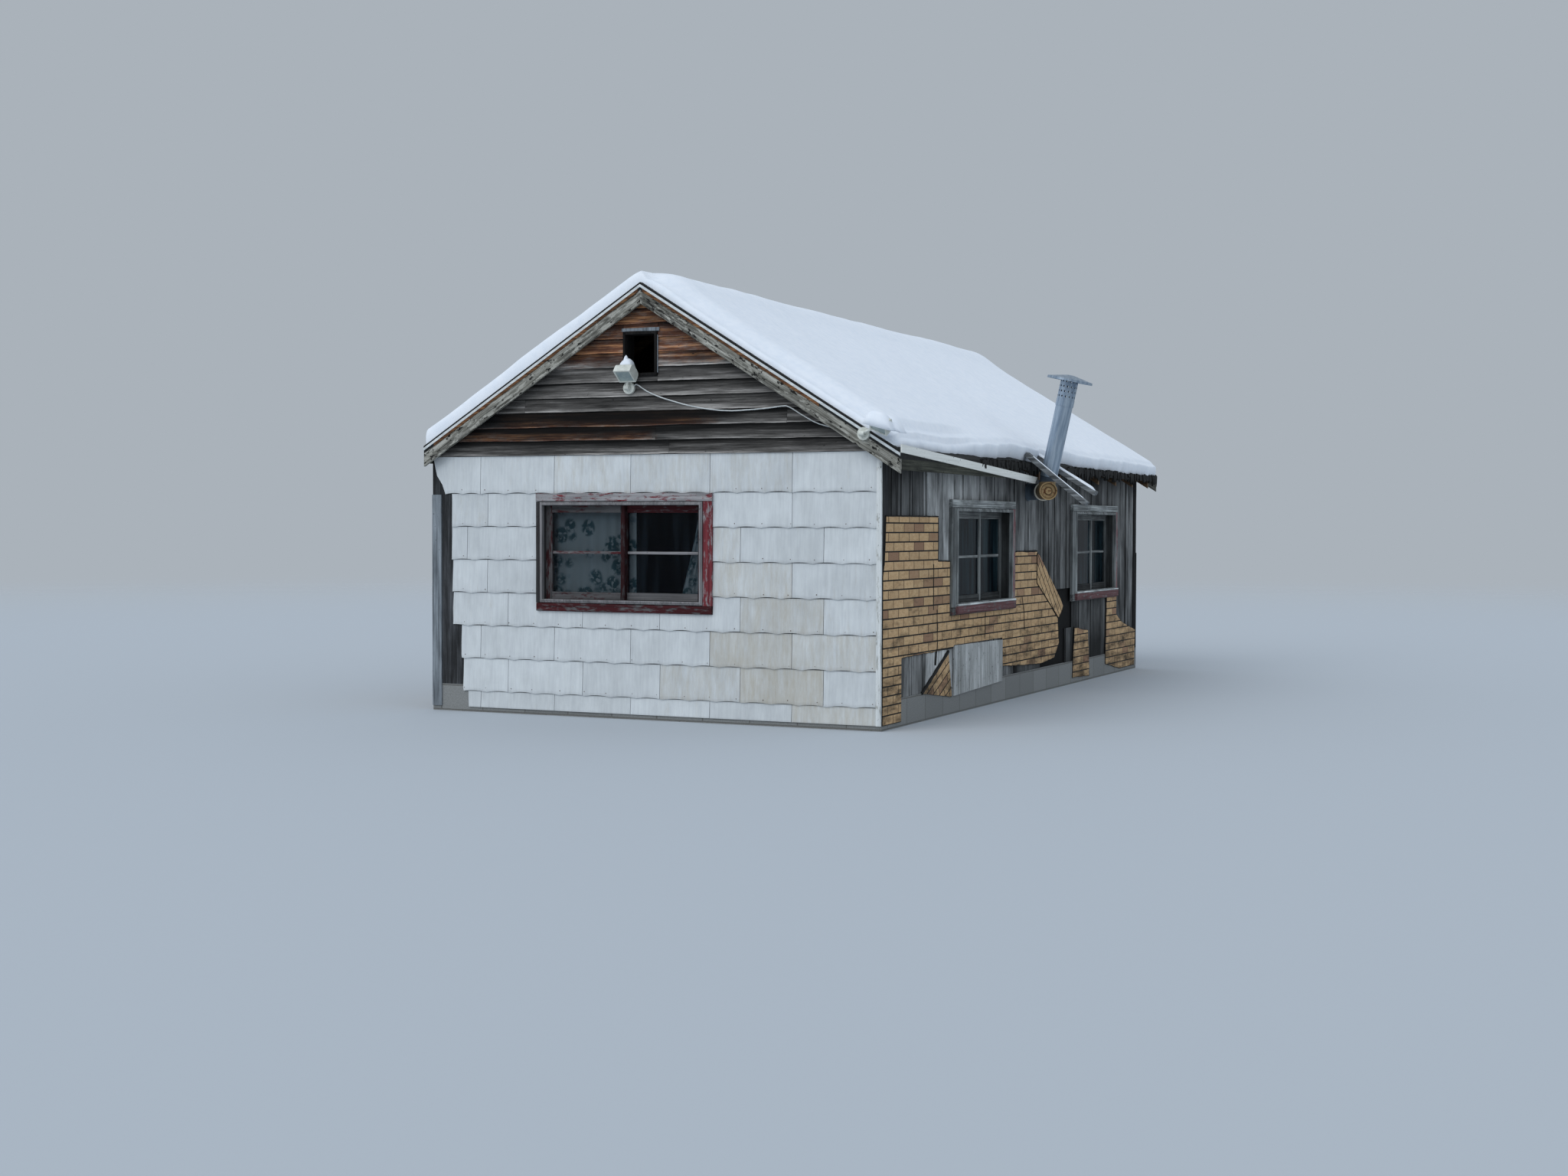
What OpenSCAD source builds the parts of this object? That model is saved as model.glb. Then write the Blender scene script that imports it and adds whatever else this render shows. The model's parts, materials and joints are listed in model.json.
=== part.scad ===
// Small gabled fishing hut of timber, clad with fibre-cement shingles,
// lap siding and brick-pattern sheets, with snow lying on its roof.
// The front gable wall faces -Y and the hut runs back along +Y.
// The origin lies on the ground, in the middle of the front foundation wall.

/* [Hut] */
// Width over the side walls
hut_w = 3960; // [3700:10:4300]
// Length from the face of the front wall to the face of the back wall
hut_l = 7380; // [7000:10:7900]
// Thickness of the framed walls
wall_t = 120; // [110:1:150]
// Height of the side walls' top plates above the ground
plate_h = 2100; // [2050:5:2300]
// Height at which the gables' lap siding starts
gable_h = 2070; // [2020:5:2090]

/* [Foundation and floor] */
// Height of the foundation walls
foundation_h = 220; // [180:5:300]
// Thickness of the foundation walls
foundation_t = 200; // [160:5:260]
// Thickness of the floor
floor_t = 80; // [60:1:100]

/* [Roof] */
// Slope of both roof sides, in degrees
roof_pitch = 31.6; // [28:0.1:35]
// Depth of the rafters
rafter_d = 75; // [60:1:100]
// Width of the rafters
rafter_w = 38; // [30:1:50]
// Number of rafter pairs
rafter_n = 12; // [10:1:14]
// Thickness of the ridge board
ridge_t = 25; // [20:1:40]
// Thickness of the roof boards with their roofing
deck_t = 40; // [20:1:60]
// How far the roof passes the right wall
eave_right = 175; // [140:5:230]
// How far the roof passes the left wall
eave_left = 25; // [20:1:60]
// How far the roof passes the front wall
overhang_front = 90; // [70:1:140]
// How far the roof passes the back wall
overhang_back = 150; // [100:5:250]
// Height of the rake boards, square to the slope
rake_h = 90; // [60:1:110]
// Thickness of rake boards, fascias and other trim
trim_t = 22; // [16:1:25]
// Height of the fascia boards
fascia_h = 80; // [60:1:95]
// Depth of the snow on the roof, square to the slope
snow_t = 85; // [40:1:110]

/* [Loose fascia strip] */
// Length of the strip that hangs off the right eave
strip_l = 3300; // [2800:10:4000]
// Height of the strip
strip_h = 60; // [45:1:75]
// Thickness of the strip
strip_t = 12; // [8:1:16]
// How steeply the strip sags towards the back, in degrees
strip_sag = 2.8; // [1:0.1:3.5]

/* [Front cladding] */
// Visible height of one row of shingles
shingle_exposure = 266.7; // [240:0.1:290]
// Height of the first row's lower edge above the ground
first_butt_h = 1765; // [1740:5:1800]
// Thickness of the shingle layer at a lower edge
shingle_butt_t = 12; // [8:1:16]
// Height of the lowest edge of all cladding above the ground
cladding_foot = 40; // [20:1:60]
// Visible height of one lap board in the gables
lap_exposure = 113; // [100:1:180]
// Thickness of a lap board at its lower edge
lap_butt_t = 18; // [14:1:24]
// Width of the white strip on the right corner
corner_trim_w = 38; // [25:1:60]
// Width of the grey board on the left corner
corner_board_w = 88; // [70:1:110]

/* [Side cladding] */
// Thickness of the brick-pattern sheets
sheet_t = 8; // [5:1:12]
// Length of one brick of the sheets' pattern
brick_l = 213; // [200:1:225]
// Height of one course of the sheets' pattern
course_h = 71.5; // [68:0.5:74]
// Thickness of the plywood patch
patch_t = 12; // [9:1:18]
// Distance of the plywood patch from the front wall
patch_y = 1557; // [1520:1:1600]
// Length of the plywood patch
patch_l = 1235; // [1100:5:1300]

/* [Windows] */
// Height over a window's casing
casing_h = 935; // [900:5:980]
// Width of the front window's casing, left of its opening
front_casing_left = 60; // [50:1:90]
// Width of the front window's casing, right of its opening
front_casing_right = 110; // [70:1:130]
// Width of a side window's casing, left of its opening
side_casing_left = 140; // [70:1:150]
// Width of a side window's casing, right of its opening
side_casing_right = 98; // [70:1:120]
// Width of the opening inside the casing
opening_w = 1400; // [1300:10:1420]
// Height of the opening inside the casing
opening_h = 745; // [700:5:780]
// Thickness of the casing boards
casing_t = 28; // [22:1:36]
// Width of the moulding round an opening
moulding_w = 26; // [20:1:36]
// How far the moulding stands proud of the casing boards
moulding_out = 6; // [3:1:12]
// Thickness of the lining boards in the wall
lining_t = 20; // [15:1:25]
// Width of the sash frames' outer bars
stile_w = 58; // [45:1:70]
// Width of the bars where two sashes pass each other
meeting_w = 38; // [30:1:50]
// Width of the bar between two panes
muntin_w = 22; // [18:1:32]
// Thickness of the sashes
sash_t = 35; // [28:1:40]
// How deep the outer sash sits behind the wall's face
sash_depth = 28; // [20:1:32]
// Running gap between the outer and the inner sash
sash_gap = 5; // [3:1:7]
// Thickness of the panes
glass_t = 4; // [3:1:6]
// Height of the front window's casing above the ground
front_window_z = 835; // [800:5:880]
// Distance of the front window's opening from the hut's middle, to its centre
front_window_x = -220; // [-300:5:0]
// Height of the side windows' casings above the ground
side_window_z = 800; // [780:5:850]
// Distance of the first side window's centre from the front wall
side_window_1 = 2290; // [2210:10:2330]
// Distance of the second side window's centre from the front wall
side_window_2 = 5710; // [5500:10:5900]

/* [Door] */
// Width of the door leaf in the back wall
door_w = 800; // [700:10:900]
// Height of the door leaf
door_h = 1690; // [1600:5:1700]
// Thickness of the door leaf
door_t = 38; // [30:1:50]
// Clearance round the door leaf
door_gap = 4; // [2:1:8]
// Width of the casing boards round the door
door_casing_w = 70; // [50:1:100]
// Height of the wall between the doorway and the back gable's siding
lintel_h = 72; // [71:1:120]

/* [Gable vent] */
// Width of the vent's opening
vent_w = 257; // [200:1:300]
// Height of the vent's opening
vent_h = 300; // [240:1:340]
// Height of the vent's lower edge above the ground
vent_z = 2700; // [2650:5:2720]
// Distance of the vent's centre from the hut's middle
vent_x = -38; // [-80:1:0]
// Width of the vent's frame
vent_frame = 20; // [14:1:30]

/* [Stovepipe] */
// Diameter of the stovepipe
pipe_d = 148; // [120:1:160]
// Thickness of the pipe's sheet
pipe_t = 2; // [1.5:0.1:3]
// Distance of the pipe's centre from the front wall
pipe_y = 3230; // [3225:5:3300]
// Height of the pipe where it leaves the wall
pipe_z = 1830; // [1825:5:1850]
// Distance from the wall to the upright pipe's foot
pipe_out = 255; // [250:5:300]
// Distance from the wall to the elbow's first seam
elbow_out = 40; // [36:1:60]
// How far the elbow turns the pipe towards the front, in degrees
elbow_turn = 60; // [50:1:64]
// How far the pipe leans outwards, in degrees
pipe_lean = 12.3; // [8:0.1:16]
// Length of the upright pipe above the tee
pipe_l = 690; // [600:10:800]
// Length of the perforated band below the cap
band_l = 174; // [140:1:200]
// Diameter of the rain cap
cap_d = 395; // [300:5:420]
// Width of the two boards that steady the pipe
brace_w = 89; // [70:1:100]
// Thickness of the two boards that steady the pipe
brace_h = 38; // [30:1:45]
// How far the two boards reach past the eave
brace_reach = 470; // [400:10:520]
// Slope of the near board, in degrees
near_brace_pitch = 39; // [37:0.5:44]

/* [Lights] */
// Width of a floodlight's head
lamp_w = 145; // [120:1:190]
// Height of a floodlight's head
lamp_h = 130; // [110:1:160]
// Depth of a floodlight's head
lamp_d = 84; // [70:1:110]
// How far the floodlights look down, in degrees
lamp_tilt = 52; // [30:1:60]
// Diameter of a floodlight's mounting plate
lamp_base_d = 95; // [80:1:110]
// Diameter of the cable between the floodlights
cable_d = 10; // [8:1:14]

/* [Hidden] */
$fn = 48;

// The walls' outer faces
x_right = hut_w / 2;
x_left = -hut_w / 2;
y_front = -foundation_t / 2;
y_back = y_front + hut_l;
floor_top = foundation_h + floor_t;

// The roof's section: heights over a distance from the middle
pitch_tan = tan(roof_pitch);
pitch_cos = cos(roof_pitch);
pitch_sin = sin(roof_pitch);
rafter_v = rafter_d / pitch_cos;
deck_v = deck_t / pitch_cos;
rafter_foot_0 = plate_h + (hut_w / 2 - wall_t) * pitch_tan;
function rafter_under(x) = rafter_foot_0 - abs(x) * pitch_tan;
function deck_under(x) = rafter_under(x) + rafter_v;
function deck_top(x) = deck_under(x) + deck_v;
x_eave_right = x_right + eave_right;
x_eave_left = x_left - eave_left;
y_roof_front = y_front - overhang_front;
y_roof_back = y_back + overhang_back;
tail_x = x_eave_right - trim_t;
fit_gap = 0.3;

// The stovepipe's level run: its corners at the elbow's seams and the tee's centre, as distances
// out from the wall and back from the hole, and where the hole lies
gore_n = 3;
gore_l = 40;
turn_step = elbow_turn / gore_n;
run_dir = [cos(elbow_turn), -sin(elbow_turn)];
function bend(i) = i == 0 ? [elbow_out, 0] : bend(i - 1) + gore_l * [cos(i * turn_step), -sin(i * turn_step)];
tee_at = bend(gore_n - 1) + (pipe_out - bend(gore_n - 1)[0]) / cos(elbow_turn) * run_dir;
pipe_wall_y = y_front + pipe_y - tee_at[1];

// The doorway, and the height at which the back gable stands over it
door_hole_w = door_w + 2 * door_gap;
door_hole_h = door_h + 2 * door_gap;
back_gable_h = floor_top + door_hole_h + lintel_h;

// Distance from the ridge and height off the roofing, turned into the section's own X and Z
function on_slope(s, n) = [s * pitch_cos + n * pitch_sin, deck_top(0) - s * pitch_sin + n * pitch_cos];

// Prism along Y from a section in X and Z
module along_y(section, y0, y1) {
    translate([0, y1, 0]) rotate([90, 0, 0]) linear_extrude(y1 - y0) polygon(section);
}

// Prism along X from an outline in Y and Z
module along_x(outline, x0, x1) {
    translate([x0, 0, 0]) rotate([90, 0, 90]) linear_extrude(x1 - x0) polygon(outline);
}

// Box between two corners
module block(low, high) {
    translate(low) cube(high - low);
}

// All that lies under the roof boards between two distances along the hut, from one height to another
module under_roof(y0, y1, z0, z1) {
    intersection() {
        along_y([[x_left, foundation_h], [x_right, foundation_h], [x_right, deck_under(x_right)],
                 [0, deck_under(0)], [x_left, deck_under(x_left)]], y0, y1);
        block([x_left, y0, z0], [x_right, y1, z1]);
    }
}

// Foundation and floor

module foundation_end(y0) {
    color("darkgray") block([x_left, y0, 0], [x_right, y0 + foundation_t, foundation_h]);
}

module foundation_side(x0) {
    color("darkgray")
        block([x0, y_front + foundation_t, 0], [x0 + foundation_t, y_back - foundation_t, foundation_h]);
}

module floor_panel() {
    color("burlywood")
        block([x_left + wall_t, y_front + wall_t, foundation_h], [x_right - wall_t, y_back - wall_t, floor_top]);
}

// Walls

// Hole in a wall for a window, in the window's own frame
module window_hole() {
    hole_w = opening_w + 2 * lining_t;
    hole_h = opening_h + 2 * lining_t;
    translate([-hole_w / 2, -1, (casing_h - hole_h) / 2]) cube([hole_w, wall_t + 2, hole_h]);
}

module at_front_window() {
    translate([front_window_x, y_front, front_window_z]) children();
}

module at_right_windows() {
    for (y = [side_window_1, side_window_2])
        translate([x_right, y_front + y, side_window_z]) rotate([0, 0, 90]) children();
}

module at_left_windows() {
    for (y = [side_window_1, side_window_2])
        translate([x_left, y_front + y, side_window_z]) rotate([0, 0, -90]) children();
}

module front_wall() {
    color("dimgray") difference() {
        under_roof(y_front, y_front + wall_t, foundation_h, gable_h);
        at_front_window() window_hole();
    }
}

module back_wall() {
    color("dimgray") difference() {
        under_roof(y_back - wall_t, y_back, foundation_h, back_gable_h);
        block([-door_hole_w / 2, y_back - wall_t - 1, foundation_h - 1],
              [door_hole_w / 2, y_back + 1, floor_top + door_hole_h]);
    }
}

module side_wall(x0) {
    block([x0, y_front + wall_t, foundation_h], [x0 + wall_t, y_back - wall_t, plate_h]);
}

module left_wall() {
    color("dimgray") difference() {
        side_wall(x_left);
        at_left_windows() window_hole();
    }
}

module right_wall() {
    color("dimgray") difference() {
        side_wall(x_right - wall_t);
        at_right_windows() window_hole();
        translate([x_right - wall_t - 1, pipe_wall_y, pipe_z]) rotate([0, 90, 0])
            cylinder(d = pipe_d, h = wall_t + 2);
    }
}

// Gables with their lap siding

// Lap boards that face -Y, on a wall whose face is at y, from a height up to the roof
module lap_boards(y, z_foot) {
    rows = ceil((deck_under(0) - z_foot) / lap_exposure);
    intersection() {
        under_roof(y - lap_butt_t, y, z_foot, deck_under(0));
        for (row = [0 : rows - 1])
            let (z0 = z_foot + row * lap_exposure)
            along_x([[y, z0], [y, z0 + lap_exposure], [y - lap_butt_t / 3, z0 + lap_exposure], [y - lap_butt_t, z0]],
                    x_left, x_right);
    }
}

module vent_hole() {
    block([vent_x - vent_w / 2 - vent_frame, y_front - lap_butt_t - 1, vent_z - vent_frame],
          [vent_x + vent_w / 2 + vent_frame, y_front + wall_t + 1, vent_z + vent_h + vent_frame]);
}

module front_gable() {
    color("slategray") difference() {
        union() {
            under_roof(y_front, y_front + wall_t, gable_h, deck_under(0));
            lap_boards(y_front, gable_h);
        }
        vent_hole();
    }
}

module back_gable() {
    color("slategray") {
        under_roof(y_back - wall_t, y_back, back_gable_h, deck_under(0));
        translate([0, y_back + y_front, 0]) mirror([0, 1, 0]) lap_boards(y_front, back_gable_h);
    }
}

module gable_vent() {
    inner_w = vent_w / 2;
    color("gray") difference() {
        block([vent_x - inner_w - vent_frame, y_front - lap_butt_t - trim_t / 2, vent_z - vent_frame],
              [vent_x + inner_w + vent_frame, y_front + wall_t, vent_z + vent_h + vent_frame]);
        block([vent_x - inner_w, y_front - lap_butt_t - trim_t, vent_z],
              [vent_x + inner_w, y_front + wall_t + 1, vent_z + vent_h]);
    }
}

// Rafters, ridge and roof boards

rafter_step = (hut_l - 2 * wall_t - rafter_w) / (rafter_n - 1);

module rafter_row(section) {
    for (i = [0 : rafter_n - 1])
        let (y0 = y_front + wall_t + i * rafter_step)
        along_y(section, y0, y0 + rafter_w);
}

module rafters_right() {
    color("tan") rafter_row([
        [ridge_t / 2, deck_under(ridge_t / 2)], [tail_x, deck_under(tail_x)], [tail_x, rafter_under(tail_x)],
        [x_right, rafter_under(x_right)], [x_right, plate_h], [x_right - wall_t, plate_h],
        [ridge_t / 2, rafter_under(ridge_t / 2)]
    ]);
}

module rafters_left() {
    color("tan") rafter_row([
        [-ridge_t / 2, deck_under(ridge_t / 2)], [x_left, deck_under(x_left)], [x_left, plate_h],
        [x_left + wall_t, plate_h], [-ridge_t / 2, rafter_under(ridge_t / 2)]
    ]);
}

module ridge_board() {
    color("tan")
        block([-ridge_t / 2, y_front + wall_t, rafter_under(0) - trim_t],
              [ridge_t / 2, y_back - wall_t, deck_under(ridge_t / 2)]);
}

// Section of the roof boards from the ridge to an eave
function deck_section(x_eave) = [
    [0, deck_under(0)], [0, deck_top(0)], [x_eave, deck_top(x_eave)], [x_eave, deck_under(x_eave)]
];

// Rotted notches along the right eave, behind the sound stretch of fascia
rot_start = 2600;
rot_pitch = 230;
rot_n = floor((hut_l + overhang_back - rot_start - rot_pitch) / rot_pitch);
rot_depth = rands(12, 48, rot_n, 7);
rot_width = rands(70, 170, rot_n, 11);

module eave_rot() {
    for (i = [0 : rot_n - 1])
        translate([x_eave_right, y_front + rot_start + i * rot_pitch, deck_under(x_eave_right) - deck_v])
            linear_extrude(4 * deck_v)
                polygon([[-rot_depth[i], 0], [1, -rot_width[i] / 2], [1, rot_width[i] / 2]]);
}

module roof_left() {
    color("black") along_y(deck_section(x_eave_left), y_roof_front, y_roof_back);
}

module roof_right() {
    color("black") difference() {
        along_y(deck_section(x_eave_right), y_roof_front, y_roof_back);
        eave_rot();
    }
}

// Snow: a bed with a rounded nose at the eave, set back a little from the roof's edges

snow_setback = 36;
nose_steps = 6;

module snow_bed(eave_over) {
    slope_l = (hut_w / 2 + eave_over - snow_setback) / pitch_cos;
    nose = [for (i = [0 : nose_steps]) let (a = -90 + 180 * i / nose_steps)
        on_slope(slope_l - snow_t / 2 + snow_t / 2 * cos(a), snow_t / 2 + snow_t / 2 * sin(a))];
    along_y(concat([on_slope(0, 0)], nose, [on_slope(-snow_t * pitch_tan, snow_t)]),
            y_roof_front + snow_setback, y_roof_back - snow_setback);
}

module roof_snow_left() {
    color("white") mirror([1, 0, 0]) snow_bed(eave_left);
}

module roof_snow_right() {
    color("white") difference() {
        snow_bed(eave_right);
        near_brace();
        far_brace();
    }
}

// Rake boards and fascias

function rake_section(x_eave) = [
    [0, deck_under(0)], [x_eave, deck_under(x_eave)],
    [x_eave, deck_under(x_eave) - rake_h / pitch_cos], [0, deck_under(0) - rake_h / pitch_cos]
];

module rake_board(x_eave, y0) {
    color("gray") along_y(rake_section(x_eave), y0, y0 + trim_t);
}

module fascia_left() {
    color("gray")
        block([x_eave_left + 3, y_roof_front + trim_t, deck_under(x_eave_left) - fascia_h],
              [x_left, y_roof_back - trim_t, deck_under(x_eave_left)]);
}

// The sound stretch of the right fascia ends in a slanting break
fascia_break = 2450;
fascia_break_slant = 160;

module fascia_right() {
    top = deck_under(x_eave_right);
    y_end = y_front + fascia_break;
    color("gray")
        along_x([[y_roof_front + trim_t, top - fascia_h], [y_end - fascia_break_slant, top - fascia_h],
                 [y_end, top], [y_roof_front + trim_t, top]], tail_x, x_eave_right);
}

// The strip's back end is cut at a slant
strip_slant = 1.3 * strip_h;
strip_top_z = deck_top(x_eave_right) - fit_gap;

module loose_fascia() {
    color("white")
        translate([x_eave_right, y_roof_front, strip_top_z]) rotate([-strip_slope, 0, 0])
            along_x([[0, 0], [strip_l - strip_slant, 0], [strip_l, strip_h], [0, strip_h]], 0, strip_t);
}

// Front cladding

// How far each row of shingles stops short of the left corner, from the top row down
row_gap = [0, 172, 176, 170, 205, 132, 300, 340];
rows = len(row_gap);
shingle_head_t = shingle_butt_t / 4;

function butt_h(row) = max(cladding_foot, first_butt_h - row * shingle_exposure);
function head_h(row) = row == 0 ? gable_h : first_butt_h - (row - 1) * shingle_exposure;

module shingle_row(row) {
    along_x([[y_front, butt_h(row)], [y_front - shingle_butt_t, butt_h(row)],
             [y_front - shingle_head_t, head_h(row)], [y_front, head_h(row)]],
            x_left + row_gap[row], x_right - corner_trim_w);
}

module window_casing_outline() {
    translate([-opening_w / 2 - front_casing_left, -shingle_butt_t - 1, 0])
        cube([opening_w + front_casing_left + front_casing_right, shingle_butt_t + 2, casing_h]);
}

module front_shingles() {
    color("gainsboro") difference() {
        for (row = [0 : rows - 1]) shingle_row(row);
        at_front_window() window_casing_outline();
        // The corner broken off the top row's left end
        along_y([[x_left - 1, gable_h - 20], [x_left + 90, first_butt_h + 30], [x_left + row_gap[1], first_butt_h - 1],
                 [x_left - 1, first_butt_h - 1]], y_front - shingle_butt_t - 1, y_front + 1);
    }
}

module corner_trim() {
    color("white")
        block([x_right - corner_trim_w, y_front - trim_t, cladding_foot], [x_right, y_front, gable_h]);
}

module corner_board() {
    color("silver")
        block([x_left, y_front - shingle_butt_t, cladding_foot], [x_left + corner_board_w, y_front, first_butt_h - 1]);
}

// Brick-pattern sheets on the side walls. Their edges and tears are placed by bricks and courses of
// the pattern, along the wall from an anchor and up from the cladding's foot.

side_casing_lo = opening_w / 2 + side_casing_left;
side_casing_hi = opening_w / 2 + side_casing_right;
win_1_lo = side_window_1 - side_casing_lo;
win_1_hi = side_window_1 + side_casing_hi;
win_2_lo = side_window_2 - side_casing_lo;
function course(n) = cladding_foot + n * course_h;
function brick_at(anchor, n, courses) = [anchor + n * brick_l, course(courses)];
sheet_top = course(21.7);
sheet_step_z = course(16.8);
sheet_step_y = 5.5 * brick_l;
patch_top = course(7.2);

module on_right_wall(outline, x0, t) {
    translate([0, y_front, 0]) along_x(outline, x0, x0 + t);
}

module brick_siding_front() {
    color("khaki")
        on_right_wall([
            brick_at(0, 0, 0), brick_at(0, 1.8, 0), brick_at(0, 1.8, 6.7), brick_at(patch_y, -0.1, 6.9),
            [patch_y, patch_top], [patch_y + patch_l, patch_top], [patch_y + patch_l, course(3.8)],
            brick_at(win_1_hi, 1, 3.4), brick_at(win_1_hi, 4, 3.1), brick_at(win_1_hi, 5.9, 3.5),
            brick_at(win_1_hi, 6.6, 5.4), brick_at(win_1_hi, 6.4, 8.6), brick_at(win_1_hi, 3.4, 13.4),
            brick_at(win_1_hi, 3.3, 17.5), brick_at(win_1_hi, 0, 17.6),
            [win_1_hi, side_window_z], [win_1_lo, side_window_z], [win_1_lo, sheet_step_z],
            [sheet_step_y, sheet_step_z], [sheet_step_y, sheet_top], [60, sheet_top], [30, course(17)],
            [0, course(15.5)]
        ], x_right, sheet_t);
}

module brick_siding_rear() {
    color("khaki") {
        on_right_wall([brick_at(win_2_lo, 0.4, 0.3), brick_at(win_2_lo, 3.2, 0), brick_at(win_2_lo, 3.1, 3),
                       brick_at(win_2_lo, 2.9, 6.4), brick_at(win_2_lo, 0.7, 7.1), brick_at(win_2_lo, 0.5, 3.6)],
                      x_right, sheet_t);
        on_right_wall([brick_at(hut_l, -5.8, 1.1), brick_at(hut_l, -3.2, 0), brick_at(hut_l, -0.4, 0),
                       brick_at(hut_l, -0.3, 5.3), brick_at(hut_l, -2.7, 6.7), brick_at(hut_l, -3.9, 8),
                       [hut_l - 3.9 * brick_l, side_window_z - fit_gap],
                       [hut_l - 5.7 * brick_l, side_window_z - fit_gap]], x_right, sheet_t);
    }
}

module brick_siding_loose() {
    color("khaki") {
        // Flap that hangs by its front edge over the torn sheet
        on_right_wall([brick_at(win_1_hi, 3.2, 17.3), brick_at(win_1_hi, 3.5, 17.1), brick_at(win_1_hi, 7.2, 10.2),
                       brick_at(win_1_hi, 6.4, 8.7), brick_at(win_1_hi, 3.2, 13.5)], x_right + sheet_t, sheet_t);
        // Triangular piece that has slipped down against the bare boards
        on_right_wall([brick_at(patch_y, -0.6, 6.5), brick_at(patch_y, -3.4, 2.5), brick_at(patch_y, -0.2, 1.4)],
                      x_right, sheet_t);
    }
}

module brick_siding_left() {
    step_y = y_front + side_window_1 + side_casing_lo;
    color("khaki") difference() {
        along_x([[y_front, cladding_foot], [y_back, cladding_foot], [y_back, sheet_step_z],
                 [step_y, sheet_step_z], [step_y, sheet_top], [y_front, sheet_top]],
                x_left - sheet_t, x_left);
        for (y = [side_window_1, side_window_2])
            block([x_left - sheet_t - 1, y_front + y - side_casing_hi, side_window_z],
                  [x_left + 1, y_front + y + side_casing_lo, side_window_z + casing_h]);
    }
}

module brick_siding_back() {
    edge = door_hole_w / 2 + door_casing_w;
    color("khaki") {
        for (side = [-1, 1])
            scale([side, 1, 1])
                block([edge, y_back, cladding_foot], [x_right, y_back + sheet_t, sheet_step_z]);
    }
}

module plywood_patch() {
    color("gray")
        on_right_wall([[patch_y, course(1.5)], [patch_y + patch_l, course(2)], [patch_y + patch_l, course(7)],
                       [patch_y, patch_top]], x_right, patch_t);
}

// Windows: casing boards and a moulding round the opening, a lining through the wall, and two sashes
// of two panes each that pass each other, the left one outside. They are drawn on the wall's face,
// with the opening centred on X, looking out along -Y.

opening_z = (casing_h - opening_h) / 2;
sash_w = (opening_w + meeting_w) / 2;
rail_w = stile_w;
groove_w = 5;
sill_out = 22;
sill_gap = 6;
sill_h = opening_z - 2 * sill_gap;
pane_w = sash_w - stile_w - meeting_w;
pane_h = (opening_h - 2 * rail_w - muntin_w) / 2;
function sash_y(side) = side < 0 ? sash_depth : sash_depth + sash_t + sash_gap;

// Frame round the opening, which reaches past it on each side, between two depths
module surround(left, right, up, down, y0, y1) {
    difference() {
        translate([-opening_w / 2 - left, y0, opening_z - down])
            cube([opening_w + left + right, y1 - y0, opening_h + up + down]);
        translate([-opening_w / 2, y0 - 1, opening_z]) cube([opening_w, y1 - y0 + 2, opening_h]);
    }
}

module even_surround(w, y0, y1) {
    surround(w, w, w, w, y0, y1);
}

module pane_places() {
    for (side = [-1, 1], level = [0, 1])
        translate([side < 0 ? -opening_w / 2 + stile_w : meeting_w / 2, sash_y(side),
                   opening_z + rail_w + level * (pane_h + muntin_w)])
            children();
}

module window_frame(left, right) {
    // Casing boards, with a groove between them and the moulding
    difference() {
        surround(left, right, opening_z, opening_z, -casing_t, 0);
        difference() {
            even_surround(moulding_w + groove_w, -casing_t - 1, -casing_t / 2);
            even_surround(moulding_w, -casing_t - 2, 0);
        }
    }
    even_surround(moulding_w, -casing_t - moulding_out, 0);
    even_surround(lining_t, 0, wall_t);
    // Sashes
    difference() {
        for (side = [-1, 1])
            translate([side < 0 ? -opening_w / 2 : -meeting_w / 2, sash_y(side), opening_z])
                cube([sash_w, sash_t, opening_h]);
        pane_places() translate([0, -1, 0]) cube([pane_w, sash_t + 2, pane_h]);
    }
}

// Sill board under a side window, over its casing's foot
module window_sill() {
    translate([-opening_w / 2 - stile_w, -casing_t - sill_out, sill_gap])
        cube([opening_w + 2 * stile_w, sill_out + 1, sill_h]);
}

module window_glass() {
    pane_places() translate([0, (sash_t - glass_t) / 2, 0]) cube([pane_w, glass_t, pane_h]);
}

module front_window() {
    color("rosybrown") at_front_window() window_frame(front_casing_left, front_casing_right);
}

module front_window_glass() {
    color("lightblue", 0.4) at_front_window() window_glass();
}

// Two curtains inside the front window: one drawn, one tied back at the right
curtain_t = 12;
curtain_y = sash_y(1) + sash_t + 4;

module front_curtains() {
    top = opening_z + opening_h;
    color("lightgray") at_front_window() {
        translate([-opening_w / 2 + 8, curtain_y, opening_z + 10])
            cube([opening_w / 2 + 70, curtain_t, opening_h - 10]);
        translate([0, curtain_y + curtain_t, 0]) rotate([90, 0, 0]) linear_extrude(curtain_t)
            polygon([[opening_w / 2 - 330, top], [opening_w / 2 - 120, opening_z + 210],
                     [opening_w / 2 - 210, opening_z + 10], [opening_w / 2 - 8, opening_z + 10],
                     [opening_w / 2 - 8, top]]);
    }
}

module side_window_frame() {
    window_frame(side_casing_left, side_casing_right);
    window_sill();
}

module right_windows() {
    color("rosybrown") at_right_windows() side_window_frame();
}

module right_window_glass() {
    color("lightblue", 0.4) at_right_windows() window_glass();
}

module left_windows() {
    color("rosybrown") at_left_windows() side_window_frame();
}

module left_window_glass() {
    color("lightblue", 0.4) at_left_windows() window_glass();
}

// Door of planks in the back wall, with its casing

ledge_h = 110;
ledge_t = 22;

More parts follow.
